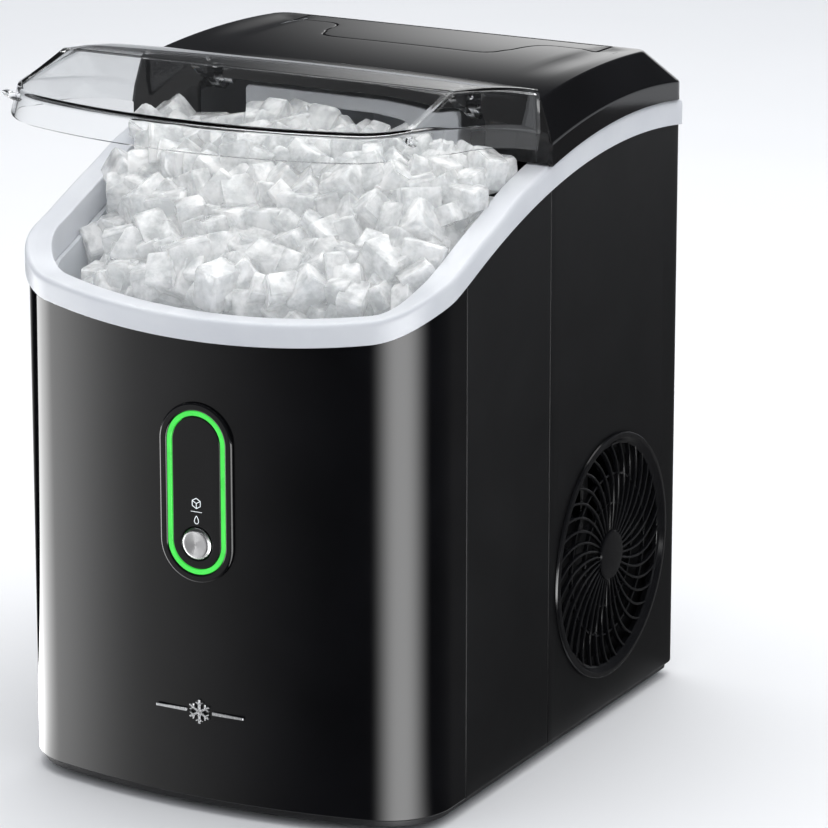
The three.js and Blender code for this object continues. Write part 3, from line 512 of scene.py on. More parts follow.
def metal(name, dark, light, rough, stretch=None, scale=900.0):
    """Bare metal with a fine grain, drawn out one way where it is brushed."""
    material, tree, shader = new_material(name)
    streak = grain(tree, scale, 3.0, stretch)
    feed(tree, shader, {
        "Metallic": 1.0,
        "Base Color": tint(tree, streak, dark, light),
        "Roughness": span(tree, streak, *rough),
    })
    bump(tree, shader, streak, 0.000006, 0.5)
    return material


def spun_metal(name):
    """Fine turned rings about the button's own axis."""
    material, tree, shader = new_material(name)
    centred = add_node(tree, "Mapping", Vector=here(tree), Location=-at(0, 0, BUTTON_Z)).outputs["Vector"]
    rings = add_node(tree, "TexWave", Vector=centred, Scale=900.0, Distortion=0.6)
    rings.wave_type = "RINGS"
    rings.rings_direction = "Y"
    tangent = add_node(tree, "Tangent")
    tangent.direction_type = "RADIAL"
    tangent.axis = "Y"
    feed(tree, shader, {
        "Metallic": 1.0,
        "Anisotropic": 0.85,
        "Tangent": tangent.outputs["Tangent"],
        "Base Color": tint(tree, rings.outputs["Fac"], (0.50, 0.50, 0.51), (0.72, 0.72, 0.73)),
        "Roughness": span(tree, rings.outputs["Fac"], 0.24, 0.34),
    })
    bump(tree, shader, rings.outputs["Fac"], 0.000004, 0.5)
    return material


def clear_plastic(name):
    material, tree, shader = new_material(name)
    feed(tree, shader, {
        "Base Color": (0.985, 0.992, 0.995, 1),
        "Transmission Weight": 1.0,
        "IOR": 1.28,
        "Roughness": span(tree, grain(tree, 45.0, 5.0), 0.0, 0.025),
    })
    bump(tree, shader, grain(tree, 30.0, 1.0), 0.00004, 0.35)
    lets_light_by(tree, shader, 0.95)
    return material


def lets_light_by(tree, shader, share):
    """This share of the light goes straight through instead of ending in a hard shadow."""
    shadow = add_node(tree, "LightPath").outputs["Is Shadow Ray"]
    through = add_node(tree, "BsdfTransparent")
    mix = add_node(tree, "MixShader", Fac=span(tree, shadow, 0.0, share))
    feed(tree, mix, {1: shader.outputs["BSDF"], 2: through.outputs["BSDF"]})
    feed(tree, tree.nodes["Material Output"], {"Surface": mix.outputs["Shader"]})


def ice(name, clear=(0.30, 0.72)):
    """Compressed ice: a clear skin over milky patches, with small trapped bubbles, a wet surface and a faint
    painted glow that brightens it.
    """
    material, tree, shader = new_material(name)
    milk = grain(tree, 110.0, 5.0)
    feed(tree, shader, {
        "Base Color": tint(tree, milk, (0.94, 0.96, 0.97), (1.0, 1.0, 1.0)),
        "Transmission Weight": span(tree, milk, clear[1], clear[0], 0.38, 0.62),
        "Roughness": span(tree, grain(tree, 420.0, 4.0), 0.03, 0.22),
        "IOR": 1.31,
        "Subsurface Weight": 0.45,
        "Subsurface Radius": (0.014, 0.015, 0.016),
        "Subsurface Scale": 1.0,
        "Coat Weight": 0.4,
        "Coat Roughness": 0.04,
        # Painted light: a faint glow of its own that brightens the ice, though ice gives off no light.
        "Emission Color": (0.95, 0.98, 1.0, 1),
        "Emission Strength": 0.042,
    })
    bump(tree, shader, grain(tree, 300.0, 5.0), 0.0005, 0.6)
    lets_light_by(tree, shader, 0.7)
    return material


def lit(name, colour, light, strength):
    """A lit diffuser: brighter where its lamps sit behind it."""
    material, tree, shader = new_material(name)
    patchy = grain(tree, 90.0, 1.0)
    feed(tree, shader, {
        "Base Color": tint(tree, patchy, tuple(c * 0.85 for c in colour), colour),
        "Roughness": span(tree, patchy, 0.25, 0.35),
        "Emission Color": (*light, 1),
        "Emission Strength": span(tree, patchy, strength * 0.85, strength),
    })
    bump(tree, shader, grain(tree, 1800.0, 2.0), 0.00002, 0.4)
    return material


def board(name):
    """Green solder mask with faint copper tracks under it."""
    material, tree, shader = new_material(name)
    tracks = add_node(tree, "TexBrick", Vector=here(tree), Scale=160.0, Color1=(0.012, 0.10, 0.035, 1),
                      Color2=(0.016, 0.13, 0.045, 1), Mortar=(0.05, 0.26, 0.10, 1))
    feed(tree, shader, {
        "Base Color": tracks.outputs["Color"],
        "Roughness": span(tree, grain(tree, 300.0), 0.30, 0.45),
    })
    bump(tree, shader, tracks.outputs["Fac"], 0.00003, 0.5)
    return material


PIANO = plastic("piano_black", (0.0035, 0.0035, 0.004), (0.006, 0.006, 0.007), (0.035, 0.06),
                patch=18.0, pore=420.0, height=0.0000025, specular=0.35)
SATIN = plastic("satin_black", (0.0065, 0.0065, 0.0075), (0.0095, 0.0095, 0.0105), (0.40, 0.50),
                patch=25.0, pore=2200.0, height=0.00003, specular=0.25)
COARSE = plastic("textured_black", (0.010, 0.010, 0.011), (0.018, 0.018, 0.020), (0.50, 0.66),
                 patch=120.0, pore=1500.0, height=0.00006, specular=0.4)
VENT_BLACK = plastic("vent_black", (0.004, 0.004, 0.005), (0.007, 0.007, 0.008), (0.12, 0.20),
                     patch=80.0, pore=900.0, height=0.00001, specular=0.5)
WHITE = plastic("white_plastic", (0.64, 0.655, 0.69), (0.70, 0.715, 0.74), (0.28, 0.38),
                patch=30.0, pore=1600.0, height=0.000012, specular=0.45, soft=0.08)
BIN_WHITE = plastic("bin_white", (0.60, 0.62, 0.65), (0.68, 0.70, 0.73), (0.30, 0.42),
                    patch=26.0, pore=1300.0, height=0.00002, specular=0.45)
RUBBER = plastic("rubber", (0.010, 0.010, 0.010), (0.022, 0.022, 0.021), (0.72, 0.88),
                 patch=140.0, pore=1100.0, height=0.00008, specular=0.3)
FOAM = plastic("foam", (0.72, 0.70, 0.60), (0.84, 0.82, 0.74), (0.85, 0.98),
               patch=220.0, pore=650.0, height=0.0004, specular=0.2)
STEEL = metal("brushed_steel", (0.48, 0.48, 0.49), (0.66, 0.66, 0.67), (0.26, 0.42), stretch=(1, 1, 14))
ALUMINIUM = metal("mill_aluminium", (0.56, 0.57, 0.58), (0.74, 0.75, 0.76), (0.34, 0.50), stretch=(1, 8, 1))
BADGE = metal("badge_silver", (0.55, 0.56, 0.58), (0.74, 0.75, 0.77), (0.20, 0.30), scale=1500.0)
COPPER = metal("copper_tube", (0.62, 0.26, 0.13), (0.86, 0.46, 0.28), (0.24, 0.46), scale=260.0)
SPUN = spun_metal("spun_steel")
CLEAR = clear_plastic("clear_plastic")
ICE = ice("cloudy_ice")
PACKED = ice("packed_ice", clear=(0.0, 0.15))
GREEN = lit("green_light", (0.03, 0.42, 0.05), (0.05, 0.62, 0.06), 0.95)
ICON = lit("icon_light", (0.75, 0.78, 0.80), (0.75, 0.80, 0.82), 0.55)
BOARD = board("circuit_board")


# ---------------------------------------------------------------- shells
def front_shell():
    tail = [("side", FRONT_SEAM - HALF_SEAM - f) for f in (0.6, 0.35, 0.15, 0.05, 0.0)]
    stations = both(front_run(FRONT_SEAM - 1.2, 5) + tail)
    rings = [shell_ring(s, None, FRONT_SEAM - HALF_SEAM, [126.0, 200.0]) for s in stations]
    verts, faces = loft(rings)
    # A window behind the control panel, for its neck and button.
    size = len(rings[0])
    low_out, high_out, high_in, low_in = 5, 6, 9, 10
    open_spans = [k for k in range(len(stations) - 1)
                  if abs(spot(stations[k], 0)[0] + spot(stations[k + 1], 0)[0]) < 26.0
                  and spot(stations[k], 0)[1] < 5.0]
    gone = {(k * size + i) for k in open_spans for i in (low_out, high_in)}
    faces = [f for f in faces if len(f) != 4 or f[0] not in gone]
    first, last = open_spans[0] * size, (open_spans[-1] + 1) * size
    for k in open_spans:
        a, b = k * size, (k + 1) * size
        faces.append((a + low_out, b + low_out, b + low_in, a + low_in))
        faces.append((a + high_out, b + high_out, b + high_in, a + high_in))
    for base in (first, last):
        faces.append((base + low_out, base + high_out, base + high_in, base + low_in))
    return verts, faces


def side_panel(side):
    stations = [("side", y, side) for y in close_stations(FRONT_SEAM + HALF_SEAM, REAR_SEAM - HALF_SEAM, 24)]
    return loft([shell_ring(s, FRONT_SEAM + HALF_SEAM, REAR_SEAM - HALF_SEAM, []) for s in stations])


def rear_shell():
    start = REAR_SEAM + HALF_SEAM
    run = [("side", start + f) for f in (0.0, 0.05, 0.15, 0.35, 0.6)]
    run += [("side", start + 0.6 + (DEPTH - REAR_R - start - 0.6) * i / 28) for i in range(1, 28)]
    run += rear_run()
    stations = on_side(run, 1) + on_side(run, -1)[:-1][::-1]
    return loft([shell_ring(s, start, None, []) for s in stations])


def closed_loop():
    """Stations all the way round, from the front's middle."""
    run = front_run(DEPTH - REAR_R, 48) + rear_run()[1:]
    return on_side(run, 1) + on_side(run[1:-1], -1)[::-1]


def collar():
    """A white rim over the wall's top. It is a little thicker where it runs under the cover."""
    profile = [(-2, 0.3, 0.3), (-2, 12.2, 3.4), (2, 12.2, 2.0), (12, 12.2, 1.0), (12, -12, 0.3),
               (9.8, -12, 0.3), (9.8, 8, 0.3), (2.5, 0.3, 0.3)]
    outline = section([corner[:2] for corner in profile], [corner[2] for corner in profile], 5)
    rings = []
    for station in closed_loop():
        y0 = spot(station, 0)[1]
        thicker = 1.8 * smooth((y0 - 96.0) / 30.0)
        rings.append([at(*spot(station, inset), rim_z(y0) + height + thicker * smooth((height - 6.0) / 4.0))
                      for inset, height in outline])
    return loft(rings, ring=True)


def base_tray():
    profile = section([(3.1, -4), (3.1, 12), (5.6, 12), (5.6, -1.5), (16, -1.5), (16, -4)], 0.7, 3)
    rim = loft([[at(*spot(s, inset), z) for inset, z in profile] for s in closed_loop()], ring=True)
    slots = [rounded_rect(6, 60, 2.9, 4, (x, 154)) for x in (-60, -30, 0, 30, 60)]
    floor = plate([spot(s, 15.5) for s in closed_loop()], slots, lambda u, v, d: at(u, v, -3.6 + d), 2.0,
                  fillet=0.4, spacing=14.0)
    return add_mesh([rim, floor])


BIN_INSET, BIN_WALL, BIN_BACK, BIN_FLOOR, BIN_FRONT = 12.3, 2.5, 150.0, 118.0, 15.6
BIN_COVE, BIN_BACK_TOP = 12.0, 289.0


def bin_liner():
    """The ice bin: one wall thick, a coved floor edge and a front set back from the controls."""
    def level(inset, back, height, front=0.0):
        points = []
        for station in both(front_run(back, 14)):
            x, y = spot(station, inset)
            y = max(min(y, back), front)
            points.append(at(x, y, height(y)))
        half = WIDTH / 2 - inset
        return points + [at(half * (2 * i / 24 - 1), back, height(back + 50)) for i in range(1, 24)]

    def top(y):
        return BIN_BACK_TOP if y > 190 else rim_z(y) - 4.0

    def skin(inset, back, front, low):
        levels = []
        for k in range(6):
            turn = k / 5 * math.pi / 2
            shift, z = BIN_COVE * (1 - math.sin(turn)), low + BIN_COVE * (1 - math.cos(turn))
            levels.append(level(inset + shift, back - shift, lambda y, z=z: z, front))
        for k in range(7):
            z, share = 214.0 + 2.5 * k, smooth(k / 6)
            levels.append(level(inset, back, lambda y, z=z: z, front * (1 - share) + (inset - 0.4) * share))
        return levels + [level(inset, back, top)]

    outer = skin(BIN_INSET, BIN_BACK, BIN_FRONT, BIN_FLOOR)
    inner = skin(BIN_INSET + BIN_WALL, BIN_BACK - BIN_WALL, BIN_FRONT + BIN_WALL, BIN_FLOOR + BIN_WALL)
    return loft(outer + inner[::-1])


def screw_head(x, z):
    profile = [(0, 2.0), (2.2, 1.95), (3.2, 1.4), (3.75, 0.5), (3.8, 0.0), (0, 0.0)]
    return turned(profile, "y", (x, DEPTH + 0.3, z), 40)


# ---------------------------------------------------------------- top cover and refill flap
COVER_HALF = WIDTH / 2 + 3.8
COVER_FRONT, COVER_BACK, COVER_CORNER = 148.0, 309.0, 12.0
COVER_LIFT = 14.3
RIDGE_BACK, RIDGE_CORNER = 287.0, 9.0
RIDGE_WIDE, RIDGE_NARROW = 116.8, 111.5


def ridge_half(y):
    share = (y - COVER_FRONT) / (RIDGE_BACK - COVER_FRONT)
    return RIDGE_WIDE + (RIDGE_NARROW - RIDGE_WIDE) * share


def cover_top(x, y):
    """The top's height: a crowned roof with a shallow scoop on both sides of the flap."""
    ridge = 351.0 - 3.5 * ((y - 215.0) / 70.0) ** 2
    crown = 2.4 * (RIDGE_BACK - y) / (RIDGE_BACK - COVER_FRONT)
    scoop = smooth((abs(x) - 84.0) / 9.0) * smooth((107.0 - abs(x)) / 9.0)
    along = smooth((y - 178.0) / 60.0) * smooth((283.0 - y) / 14.0)
    return ridge + crown * (1 - (x / ridge_half(y)) ** 2) - 1.1 * scoop * along


def round_back(t, half, back, corner):
    """A point round the back corner and on to the middle, and the way inward, for t from 0 to 1."""
    if t > 0.3:
        return (half - corner) * (1 - (t - 0.3) / 0.7), back, Vector((0, -1, 0))
    angle = t / 0.3 * math.pi / 2
    out = Vector((math.cos(angle), math.sin(angle), 0))
    return half - corner + corner * out.x, back - corner + corner * out.y, -out


def cover_station(k, count):
    """Rim, fold, ridge and a point on the top at one place, from the front round to the back's middle."""
    s = k / count
    if s <= 0.5:
        x, y = COVER_HALF, COVER_FRONT + (COVER_BACK - COVER_CORNER - COVER_FRONT) * (s * 2)
        ry = COVER_FRONT + (RIDGE_BACK - RIDGE_CORNER - COVER_FRONT) * (s * 2)
        rx, inward = ridge_half(ry), Vector((-1, 0, 0))
    else:
        t = (s - 0.5) * 2
        x, y, _ = round_back(t, COVER_HALF, COVER_BACK, COVER_CORNER)
        rx, ry, inward = round_back(t, ridge_half(RIDGE_BACK), RIDGE_BACK, RIDGE_CORNER)
    rim = Vector((x, y, rim_z(y) + COVER_LIFT))
    fold = rim + Vector((0, 0, 12.3 - 0.015 * (y - COVER_FRONT)))
    ridge = Vector((rx, ry, cover_top(rx, ry)))
    target = ridge + inward * 4.0
    target.z = cover_top(target.x, target.y)
    return rim, fold, ridge, target


def both_halves(right):
    """Adds the left half's lines, from the middle on, to the right half's."""
    left = [[Vector((-p.x, p.y, p.z)) for p in line] for line in right[:-1]]
    return right + left[::-1]


def cover_levels():
    """Profiles from the rim to just inside the ridge, right side first."""
    count = 120
    stations = [cover_station(k, count) for k in range(count + 1)]
    return both_halves([rounded(station, 1.3, 5, closed=False)[:-1] for station in stations])


def flap_outline(gap, back_gap):
    """The refill flap with its pointed tongue, smaller by a gap; without gaps, its hole in the cover."""
    front = 219.0 + gap
    top = 262.0 + gap
    tongue = [(0.0, front), (20.0, front), (40.0 - gap, front), (47.0 - gap, front + 1.2),
              (51.5 - gap, front + 5.0), (54.0 - gap, front + 12.0), (56.0 - gap, 236.0), (57.5 - gap, 246.0),
              (60.0 - gap, 255.0 + gap * 0.5), (64.0 - gap, 259.8 + gap), (69.0, 261.8 + gap), (74.0, top),
              (84.0, top)]
    right, back = 92.0 - gap, 284.0 - back_gap
    turns = [math.pi / 2 * i / 6 for i in range(7)]
    rest = [(right - 3.0 + 3.0 * math.sin(a), top + 3.0 - 3.0 * math.cos(a)) for a in turns]
    turns = [math.pi / 2 * i / 4 for i in range(5)]
    rest += [(right - 1.5 + 1.5 * math.cos(a), back - 1.5 + 1.5 * math.sin(a)) for a in turns]
    rest.append((0.0, back))
    # Even out the listed tongue with a spline through its points.
    half = []
    for i in range(len(tongue) - 1):
        p0 = Vector(tongue[max(i - 1, 0)])
        p1 = Vector(tongue[i])
        p2 = Vector(tongue[i + 1])
        p3 = Vector(tongue[min(i + 2, len(tongue) - 1)])
        for k in range(5):
            t = k / 5
            half.append(tuple(0.5 * (2 * p1 + (p2 - p0) * t + (2 * p0 - 5 * p1 + 4 * p2 - p3) * t * t
                                     + (3 * p1 - p0 - 3 * p2 + p3) * t ** 3)))
    half += [tongue[-1]] + rest
    mirror = [(-x, y) for x, y in half[1:-1]]
    return half + mirror[::-1]


def top_cover():
    levels = cover_levels()
    shells = [[at(*p) for p in line] for line in levels]
    size = len(shells[0])
    verts = [v for line in shells for v in line]
    faces = []
    for k in range(len(shells) - 1):
        for i in range(size - 1):
            faces.append((k * size + i, k * size + i + 1, (k + 1) * size + i + 1, (k + 1) * size + i))
    edge = [(line[-1].x, line[-1].y) for line in levels]
    front = [(edge[-1][0] + (edge[0][0] - edge[-1][0]) * i / 60, COVER_FRONT) for i in range(1, 60)]
    hole = flap_outline(0.0, 0.0)
    top = plate(edge + front, [hole], lambda u, v, d: at(u, v, cover_top(u, v) - d), 2.5,
                fillet=0.7, spacing=3.6, outer_fillet=0, walls=False)
    return add_mesh([(verts, faces), top])


def cover_front():
    """The cover's front wall: an arch over the chute with two slots for the lid's arms."""
    bottom = rim_z(151.0) + COVER_LIFT
    _, fold, ridge, _ = cover_station(0, 120)
    half = [(COVER_HALF - 0.4, bottom), (COVER_HALF - 0.4, fold.z - 0.6), (ridge.x - 0.4, ridge.z - 0.5)]
    half += [(x, cover_top(x, COVER_FRONT) - 0.4) for x in (100, 80, 60, 40, 20, 0)]
    outline = half + [(-x, z) for x, z in half[:-1]][::-1]
    turns = [math.pi / 2 * i / 6 for i in range(7)]
    bend = [(-76.0 - 8 * math.cos(a), 331.0 + 8 * math.sin(a)) for a in turns]
    arch = [(-84.0, bottom)] + [p for p in bend if p[0] <= -81.0 or p[1] < 338.9]
    arch += [(-81.0, 339.0), (-81.0, 346.2), (-79.0, 348.2), (-71.0, 348.2), (-69.0, 346.2), (-69.0, 339.0)]
    arch += [(-x, z) for x, z in arch][::-1]
    return plate(outline + arch, [], upright(COVER_FRONT), 3.0, fillet=0.5, spacing=9.0)


def hinge_cheek(side):
    outline = section([(151.75, 348.6), (151.75, 334.0), (154.0, 331.6), (159.5, 331.6), (161.75, 334.0),
                       (168.75, 348.6)], 1.2, 3)
    return loft([[at(x, y, z) for y, z in outline] for x in sorted((side * 80.5, side * 83.5))])


def refill_flap():
    sheet = plate(flap_outline(0.6, 1.7), [], lambda u, v, d: at(u, v, cover_top(u, v) - d), 2.5,
                  fillet=0.7, spacing=3.6)
    barrel = [(1.25, -7), (2.2, -7), (2.2, 7), (1.25, 7)]
    return add_mesh([sheet] + [turned(barrel, "x", (x, 281.0, 345.6), 32) for x in (76, -76)])


# ---------------------------------------------------------------- clear lid
LID_SIDE, LID_FRONT = 44, 44
LID_LIFT, LID_HEIGHT, LID_WALL = 17.3, 31.5, 2.4
LID_RIDGE_BACK, LID_RIDGE_FRONT = 140.0, 58.0
LID_WIDE, LID_NARROW = 116.8, 112.0
LID_END = 147.3


def swing(p):
    """Turns a point of the closed lid to the open rest pose."""
    y, z = p.y - LID_HINGE_Y, p.z - LID_HINGE_Z
    c, s = math.cos(-LID_OPEN), math.sin(-LID_OPEN)
    return at(p.x, LID_HINGE_Y + y * c - z * s, LID_HINGE_Z + y * s + z * c)


def lid_half(y):
    share = (LID_RIDGE_BACK - y) / (LID_RIDGE_BACK - LID_RIDGE_FRONT)
    return LID_WIDE + (LID_NARROW - LID_WIDE) * share


def lid_top(x, y, depth):
    crown = 2.4 * (y - LID_RIDGE_FRONT) / (LID_RIDGE_BACK - LID_RIDGE_FRONT)
    return rim_z(y) + LID_LIFT + LID_HEIGHT - depth + crown * (1 - min(abs(x) / lid_half(y), 1.0) ** 2)


def lid_station(k, depth):
    """Rim, fold, ridge and a point on the top, at one place from the right end to the front's middle."""
    mid_turn = TURN + (math.pi / 2 - TURN) * 0.5
    if k <= LID_SIDE:
        t, straight = k / LID_SIDE, 0.72
        if t <= straight:
            station = ("side", LID_END + (CORNER_Y - LID_END) * (t / straight), 1)
        else:
            share = (t - straight) / (1 - straight)
            station = ("corner", math.pi / 2 + (mid_turn - math.pi / 2) * share, 1)
        ry = LID_RIDGE_BACK + (LID_RIDGE_FRONT + depth - LID_RIDGE_BACK) * t
        rx = lid_half(ry) - depth
        inward = Vector((-1, 0, 0)) if t < 1 else Vector((-0.7, 0.7, 0))
    else:
        t, bend = (k - LID_SIDE) / LID_FRONT, 0.22
        if t <= bend:
            station = ("corner", mid_turn + (TURN - mid_turn) * t / bend, 1)
        else:
            station = ("arc", TURN * (1 - (t - bend) / (1 - bend)), 1)
        ry = LID_RIDGE_FRONT + depth
        rx = (lid_half(LID_RIDGE_FRONT) - depth) * (1 - t)
        inward = Vector((0, 1, 0))
    x, y = spot(station, depth)
    rim = Vector((x, y, rim_z(spot(station, 0)[1]) + LID_LIFT))
    fold = Vector((x, y if k else 145.3, rim.z + 15.3 - 0.037 * y - depth / 2))
    ridge = Vector((rx, ry, lid_top(rx, ry, depth)))
    target = ridge + inward * 5.0
    target.z = lid_top(target.x, target.y, depth)
    return rim, fold, ridge, target


def lid_skin(depth):
    """One skin of the lid as profiles round the edge and rows across the top."""
    stations = [lid_station(k, depth) for k in range(LID_SIDE + LID_FRONT + 1)]
    right = [rounded(station, 1.6, 4, closed=False)[:-1] for station in stations]
    columns = 2 * LID_FRONT
    rows = []
    for line in right[:LID_SIDE]:
        edge = line[-1]
        xs = [edge.x * (1 - 2 * j / columns) for j in range(1, columns)]
        rows.append([Vector((x, edge.y, lid_top(x, edge.y, depth))) for x in xs])
    return both_halves(right), rows


def lid_shell():
    verts, faces = [], []
    skins = []
    for depth in (0.0, LID_WALL):
        lines, rows = lid_skin(depth)
        base = len(verts)
        size = len(lines[0])
        verts.extend(swing(p) for line in lines for p in line)
        top_base = len(verts)
        verts.extend(swing(p) for row in rows for p in row)
        count = len(lines)
        number = [[base + k * size + i for i in range(size)] for k in range(count)]
        for a, b in zip(number, number[1:]):
            faces.extend((a[i], a[i + 1], b[i + 1], b[i]) for i in range(size - 1))
        columns = 2 * LID_FRONT
        grid = []
        for k in range(LID_SIDE):
            inner = [top_base + k * (columns - 1) + j for j in range(columns - 1)]
            grid.append([number[k][-1]] + inner + [number[-1 - k][-1]])
        grid.append([line[-1] for line in number[LID_SIDE:LID_SIDE + columns + 1]])
        for k in range(len(grid) - 1):
            for j in range(columns):
                faces.append((grid[k][j], grid[k + 1][j], grid[k + 1][j + 1], grid[k][j + 1]))
        skins.append(([line[0] for line in number], number[0] + grid[0][1:-1] + number[-1][::-1]))
    (rim_out, end_out), (rim_in, end_in) = skins
    for loop_out, loop_in in ((rim_out, rim_in), (end_out, end_in)):
        for i in range(len(loop_out) - 1):
            faces.append((loop_out[i], loop_out[i + 1], loop_in[i + 1], loop_in[i]))
    return verts, faces


def lid_arm(side):
    """An arm down from the lid's back edge to an eye on the hinge pin."""
    y, z, eye = LID_HINGE_Y, LID_HINGE_Z, 5.5
    turns = [-math.pi / 2 - 0.2 + (math.pi + 0.4) * i / 20 for i in range(21)]
    outline = [(y + eye * math.cos(a), z + eye * math.sin(a)) for a in turns]
    outline += section([(146, 340.3), (137, 341.2), (133.5, 344.0), (126, 342.2), (126, 334), (140, z - eye)],
                       1.5, 3)
    end = side * 72.0 + (5.0 if side > 0 else 0.0)
    return plate(outline, [circle(y, z, 2.65, 28)], lambda u, v, d: swing(Vector((end - d, u, v))), 5.0,
                 fillet=0.5, spacing=3.0)


def corner_tab(side):
    """A small grip on the lid's rim at a front corner."""
    turn = 0.63
    base = CORNER_R - 1.5
    height = rim_z(CORNER_Y - CORNER_R * math.sin(turn)) + LID_LIFT + 8
    corners = [(base, -2, 0), (base + 5.2, -1.8, 0), (base + 7, 0, 0), (base + 5.2, 1.8, 0), (base, 2, 0)]
    outline = rounded(corners, 1.4, 4)
    rings = []
    for level in (-4.0, -3.6, -2.9, 2.9, 3.6, 4.0):
        tuck = 0.8 * max(0.0, (abs(level) - 2.9) / 1.1) ** 2
        ring = []
        for p in outline:
            u, v = p.x - tuck * (p.x > base + 1), p.y * (1 - tuck * 0.3)
            x, y = CORNER_X + u * math.cos(turn), CORNER_Y - u * math.sin(turn)
            ring.append(swing(Vector((side * x, y + level, height + v))))
        rings.append(ring)
    return loft(rings)


# ---------------------------------------------------------------- control panel
def ring_sweep(width, height, profile):
    """A ring with round ends on the panel, from a closed profile of (inset, y) pairs."""
    rings = []
    for inset, y in profile:
        w, h = width - 2 * inset, height - 2 * inset
        rings += along_y(rounded_rect(w, h, w / 2, 28, (0, PANEL_Z)), y)
    return loft(rings, ring=True)


def control_bezel():
    profile = [(0, -0.3), (0, -1.2), (0.8, -1.8), (3.6, -1.8), (4.2, -1.2), (4.2, 4.8), (3.1, 4.8),
               (3.1, -0.3)]
    return ring_sweep(42, 94, section(profile, 0.35))


def display_window():
    """The dark oval face, with a hole for the button."""
    outline = rounded_rect(27.6, 79.6, 13.8, 28, (0, PANEL_Z))
    return plate(outline, [circle(0, BUTTON_Z, 8.9, 64)], upright(-1.2), 4.0, fillet=0.5, spacing=5.0)


def start_button():
    """A dished cap on a short stem."""
    profile = [(0, -2.45), (2.0, -2.45), (5.4, -2.62), (6.4, -2.7), (6.9, -2.66), (7.5, -2.3), (8.1, -1.75),
               (8.4, -1.2), (8.5, -0.6), (8.5, 3.8), (2.5, 3.8), (2.5, 8.5), (0, 8.5)]
    return turned(profile, "y", (0, 0, BUTTON_Z), 128)


def print_line(points, width):
    """A raised printed line of even width on the window, through (x, z) points."""
    left, right = [], []
    for i, (x, z) in enumerate(points):
        ax, az = points[max(i - 1, 0)]
        bx, bz = points[min(i + 1, len(points) - 1)]
        d = Vector((bx - ax, bz - az)).normalized()
        left.append((x - d.y * width / 2, z + d.x * width / 2))
        right.append((x + d.y * width / 2, z - d.x * width / 2))
    return loft(along_y(left + right[::-1], -1.22, -1.32))


def icons():
    """Two plain symbols above the button: an ice cube and a water drop, with a short rule between."""
    cube_z, rule_z, drop_z = 157.6, 153.2, 149.0
    turns = [math.pi / 3 * i for i in range(7)]
    hexagon = [(2.7 * math.sin(a), cube_z + 2.7 * math.cos(a)) for a in turns]
    lines = [(pair, 0.42) for pair in zip(hexagon, hexagon[1:])]
    lines += [([(0.0, cube_z), hexagon[i]], 0.42) for i in (1, 3, 5)]
    lines.append(([(-3.2, rule_z), (3.2, rule_z)], 0.3))
    turns = [2 * math.pi * i / 24 for i in range(25)]
    drop = [(1.55 * math.sin(a) * math.sin(a / 2), drop_z + 2.1 * math.cos(a)) for a in turns]
    lines += [(pair, 0.38) for pair in zip(drop, drop[1:])]
    return add_mesh([print_line(points, width) for points, width in lines])


def badge():
    """A six-armed crystal between two long bars."""
    centre = 47.0
    parts = []

    def bar(cx, cz, length, width, angle):
        u = Vector((math.cos(angle), math.sin(angle)))
        w = Vector((-u.y, u.x))
        half, tip = width / 2, width / 2 * 0.75
        corners = [(-length / 2, -half), (length / 2, -tip), (length / 2, tip), (-length / 2, half)]
        outline = section([(cx + u.x * a + w.x * b, cz + u.y * a + w.y * b) for a, b in corners], 0.3, 3)
        front_y = ARC_R - math.sqrt(ARC_R ** 2 - cx ** 2)
        parts.append(plate(outline, [], upright(front_y - 1.15), 0.8, fillet=0.22, spacing=4.0, steps=3))

    for k in range(6):
        angle = math.pi / 3 * k + math.pi / 6
        along = Vector((math.cos(angle), math.sin(angle)))
        bar(3.25 * along.x, centre + 3.25 * along.y, 6.5, 1.5, angle)
        for turn in (-1, 1):
            side = angle + turn * math.pi / 3
            x, z = 3.9 * along.x + 1.1 * math.cos(side), 3.9 * along.y + 1.1 * math.sin(side)
            bar(x, centre + z, 2.6, 0.95, side)
    for side in (-1, 1):
        bar(side * 16.5, centre, 18.0, 1.9, 0.0 if side > 0 else math.pi)
    return add_mesh(parts)


# ---------------------------------------------------------------- vents
def vent(side):
    """A round grille: a stepped ring, curved radial vanes, two thin hoops and a domed hub."""
    face = WIDTH / 2 + 0.3

    def about_hub(profile, steps):
        return turned([(r, side * h) for r, h in profile], "x", (side * face, VENT_Y, VENT_Z), steps)

    ring = [(VENT_R - 7, -4.2), (VENT_R - 4.6, -4.2), (VENT_R - 4.6, 0), (VENT_R, 0), (VENT_R - 0.6, 1.5),
            (VENT_R - 3.2, 1.8), (VENT_R - 5.6, -0.4), (VENT_R - 7, -1.0)]
    hub = [(0, -2.0), (12.6, -2.0), (13.4, -1.4), (13.4, 0.2), (12.6, 0.9), (9.0, 1.3), (0, 1.5)]
    parts = [about_hub(section(ring, 0.4, 3), 128), about_hub(hub, 72)]
    for radius in (28.0, 44.0):
        low, high = radius - 0.6, radius + 0.6
        parts.append(about_hub(section([(low, -3.4), (high, -3.4), (high, -1.2), (low, -1.2)], 0.3, 2), 96))
    count = 36
    for k in range(count):
        start = 2 * math.pi * k / count
        rings = []
        for i in range(13):
            t = i / 12
            radius = 12.6 + (VENT_R - 6.2 - 12.6) * t
            angle = start + 0.34 * t * t
            half = 0.62 + 0.25 * t
            ring = []
            for du, dx in rounded_rect(2 * half, 2.6, 0.5, 2):
                shift = angle + du / radius
                x = face - 1.7 + dx + 0.5 * math.sin(math.pi * t)
                y, z = VENT_Y + radius * math.cos(shift), VENT_Z + radius * math.sin(shift)
                ring.append(at(side * x, y, z))
            rings.append(ring)
        parts.append(loft(rings))
    return add_mesh(parts)


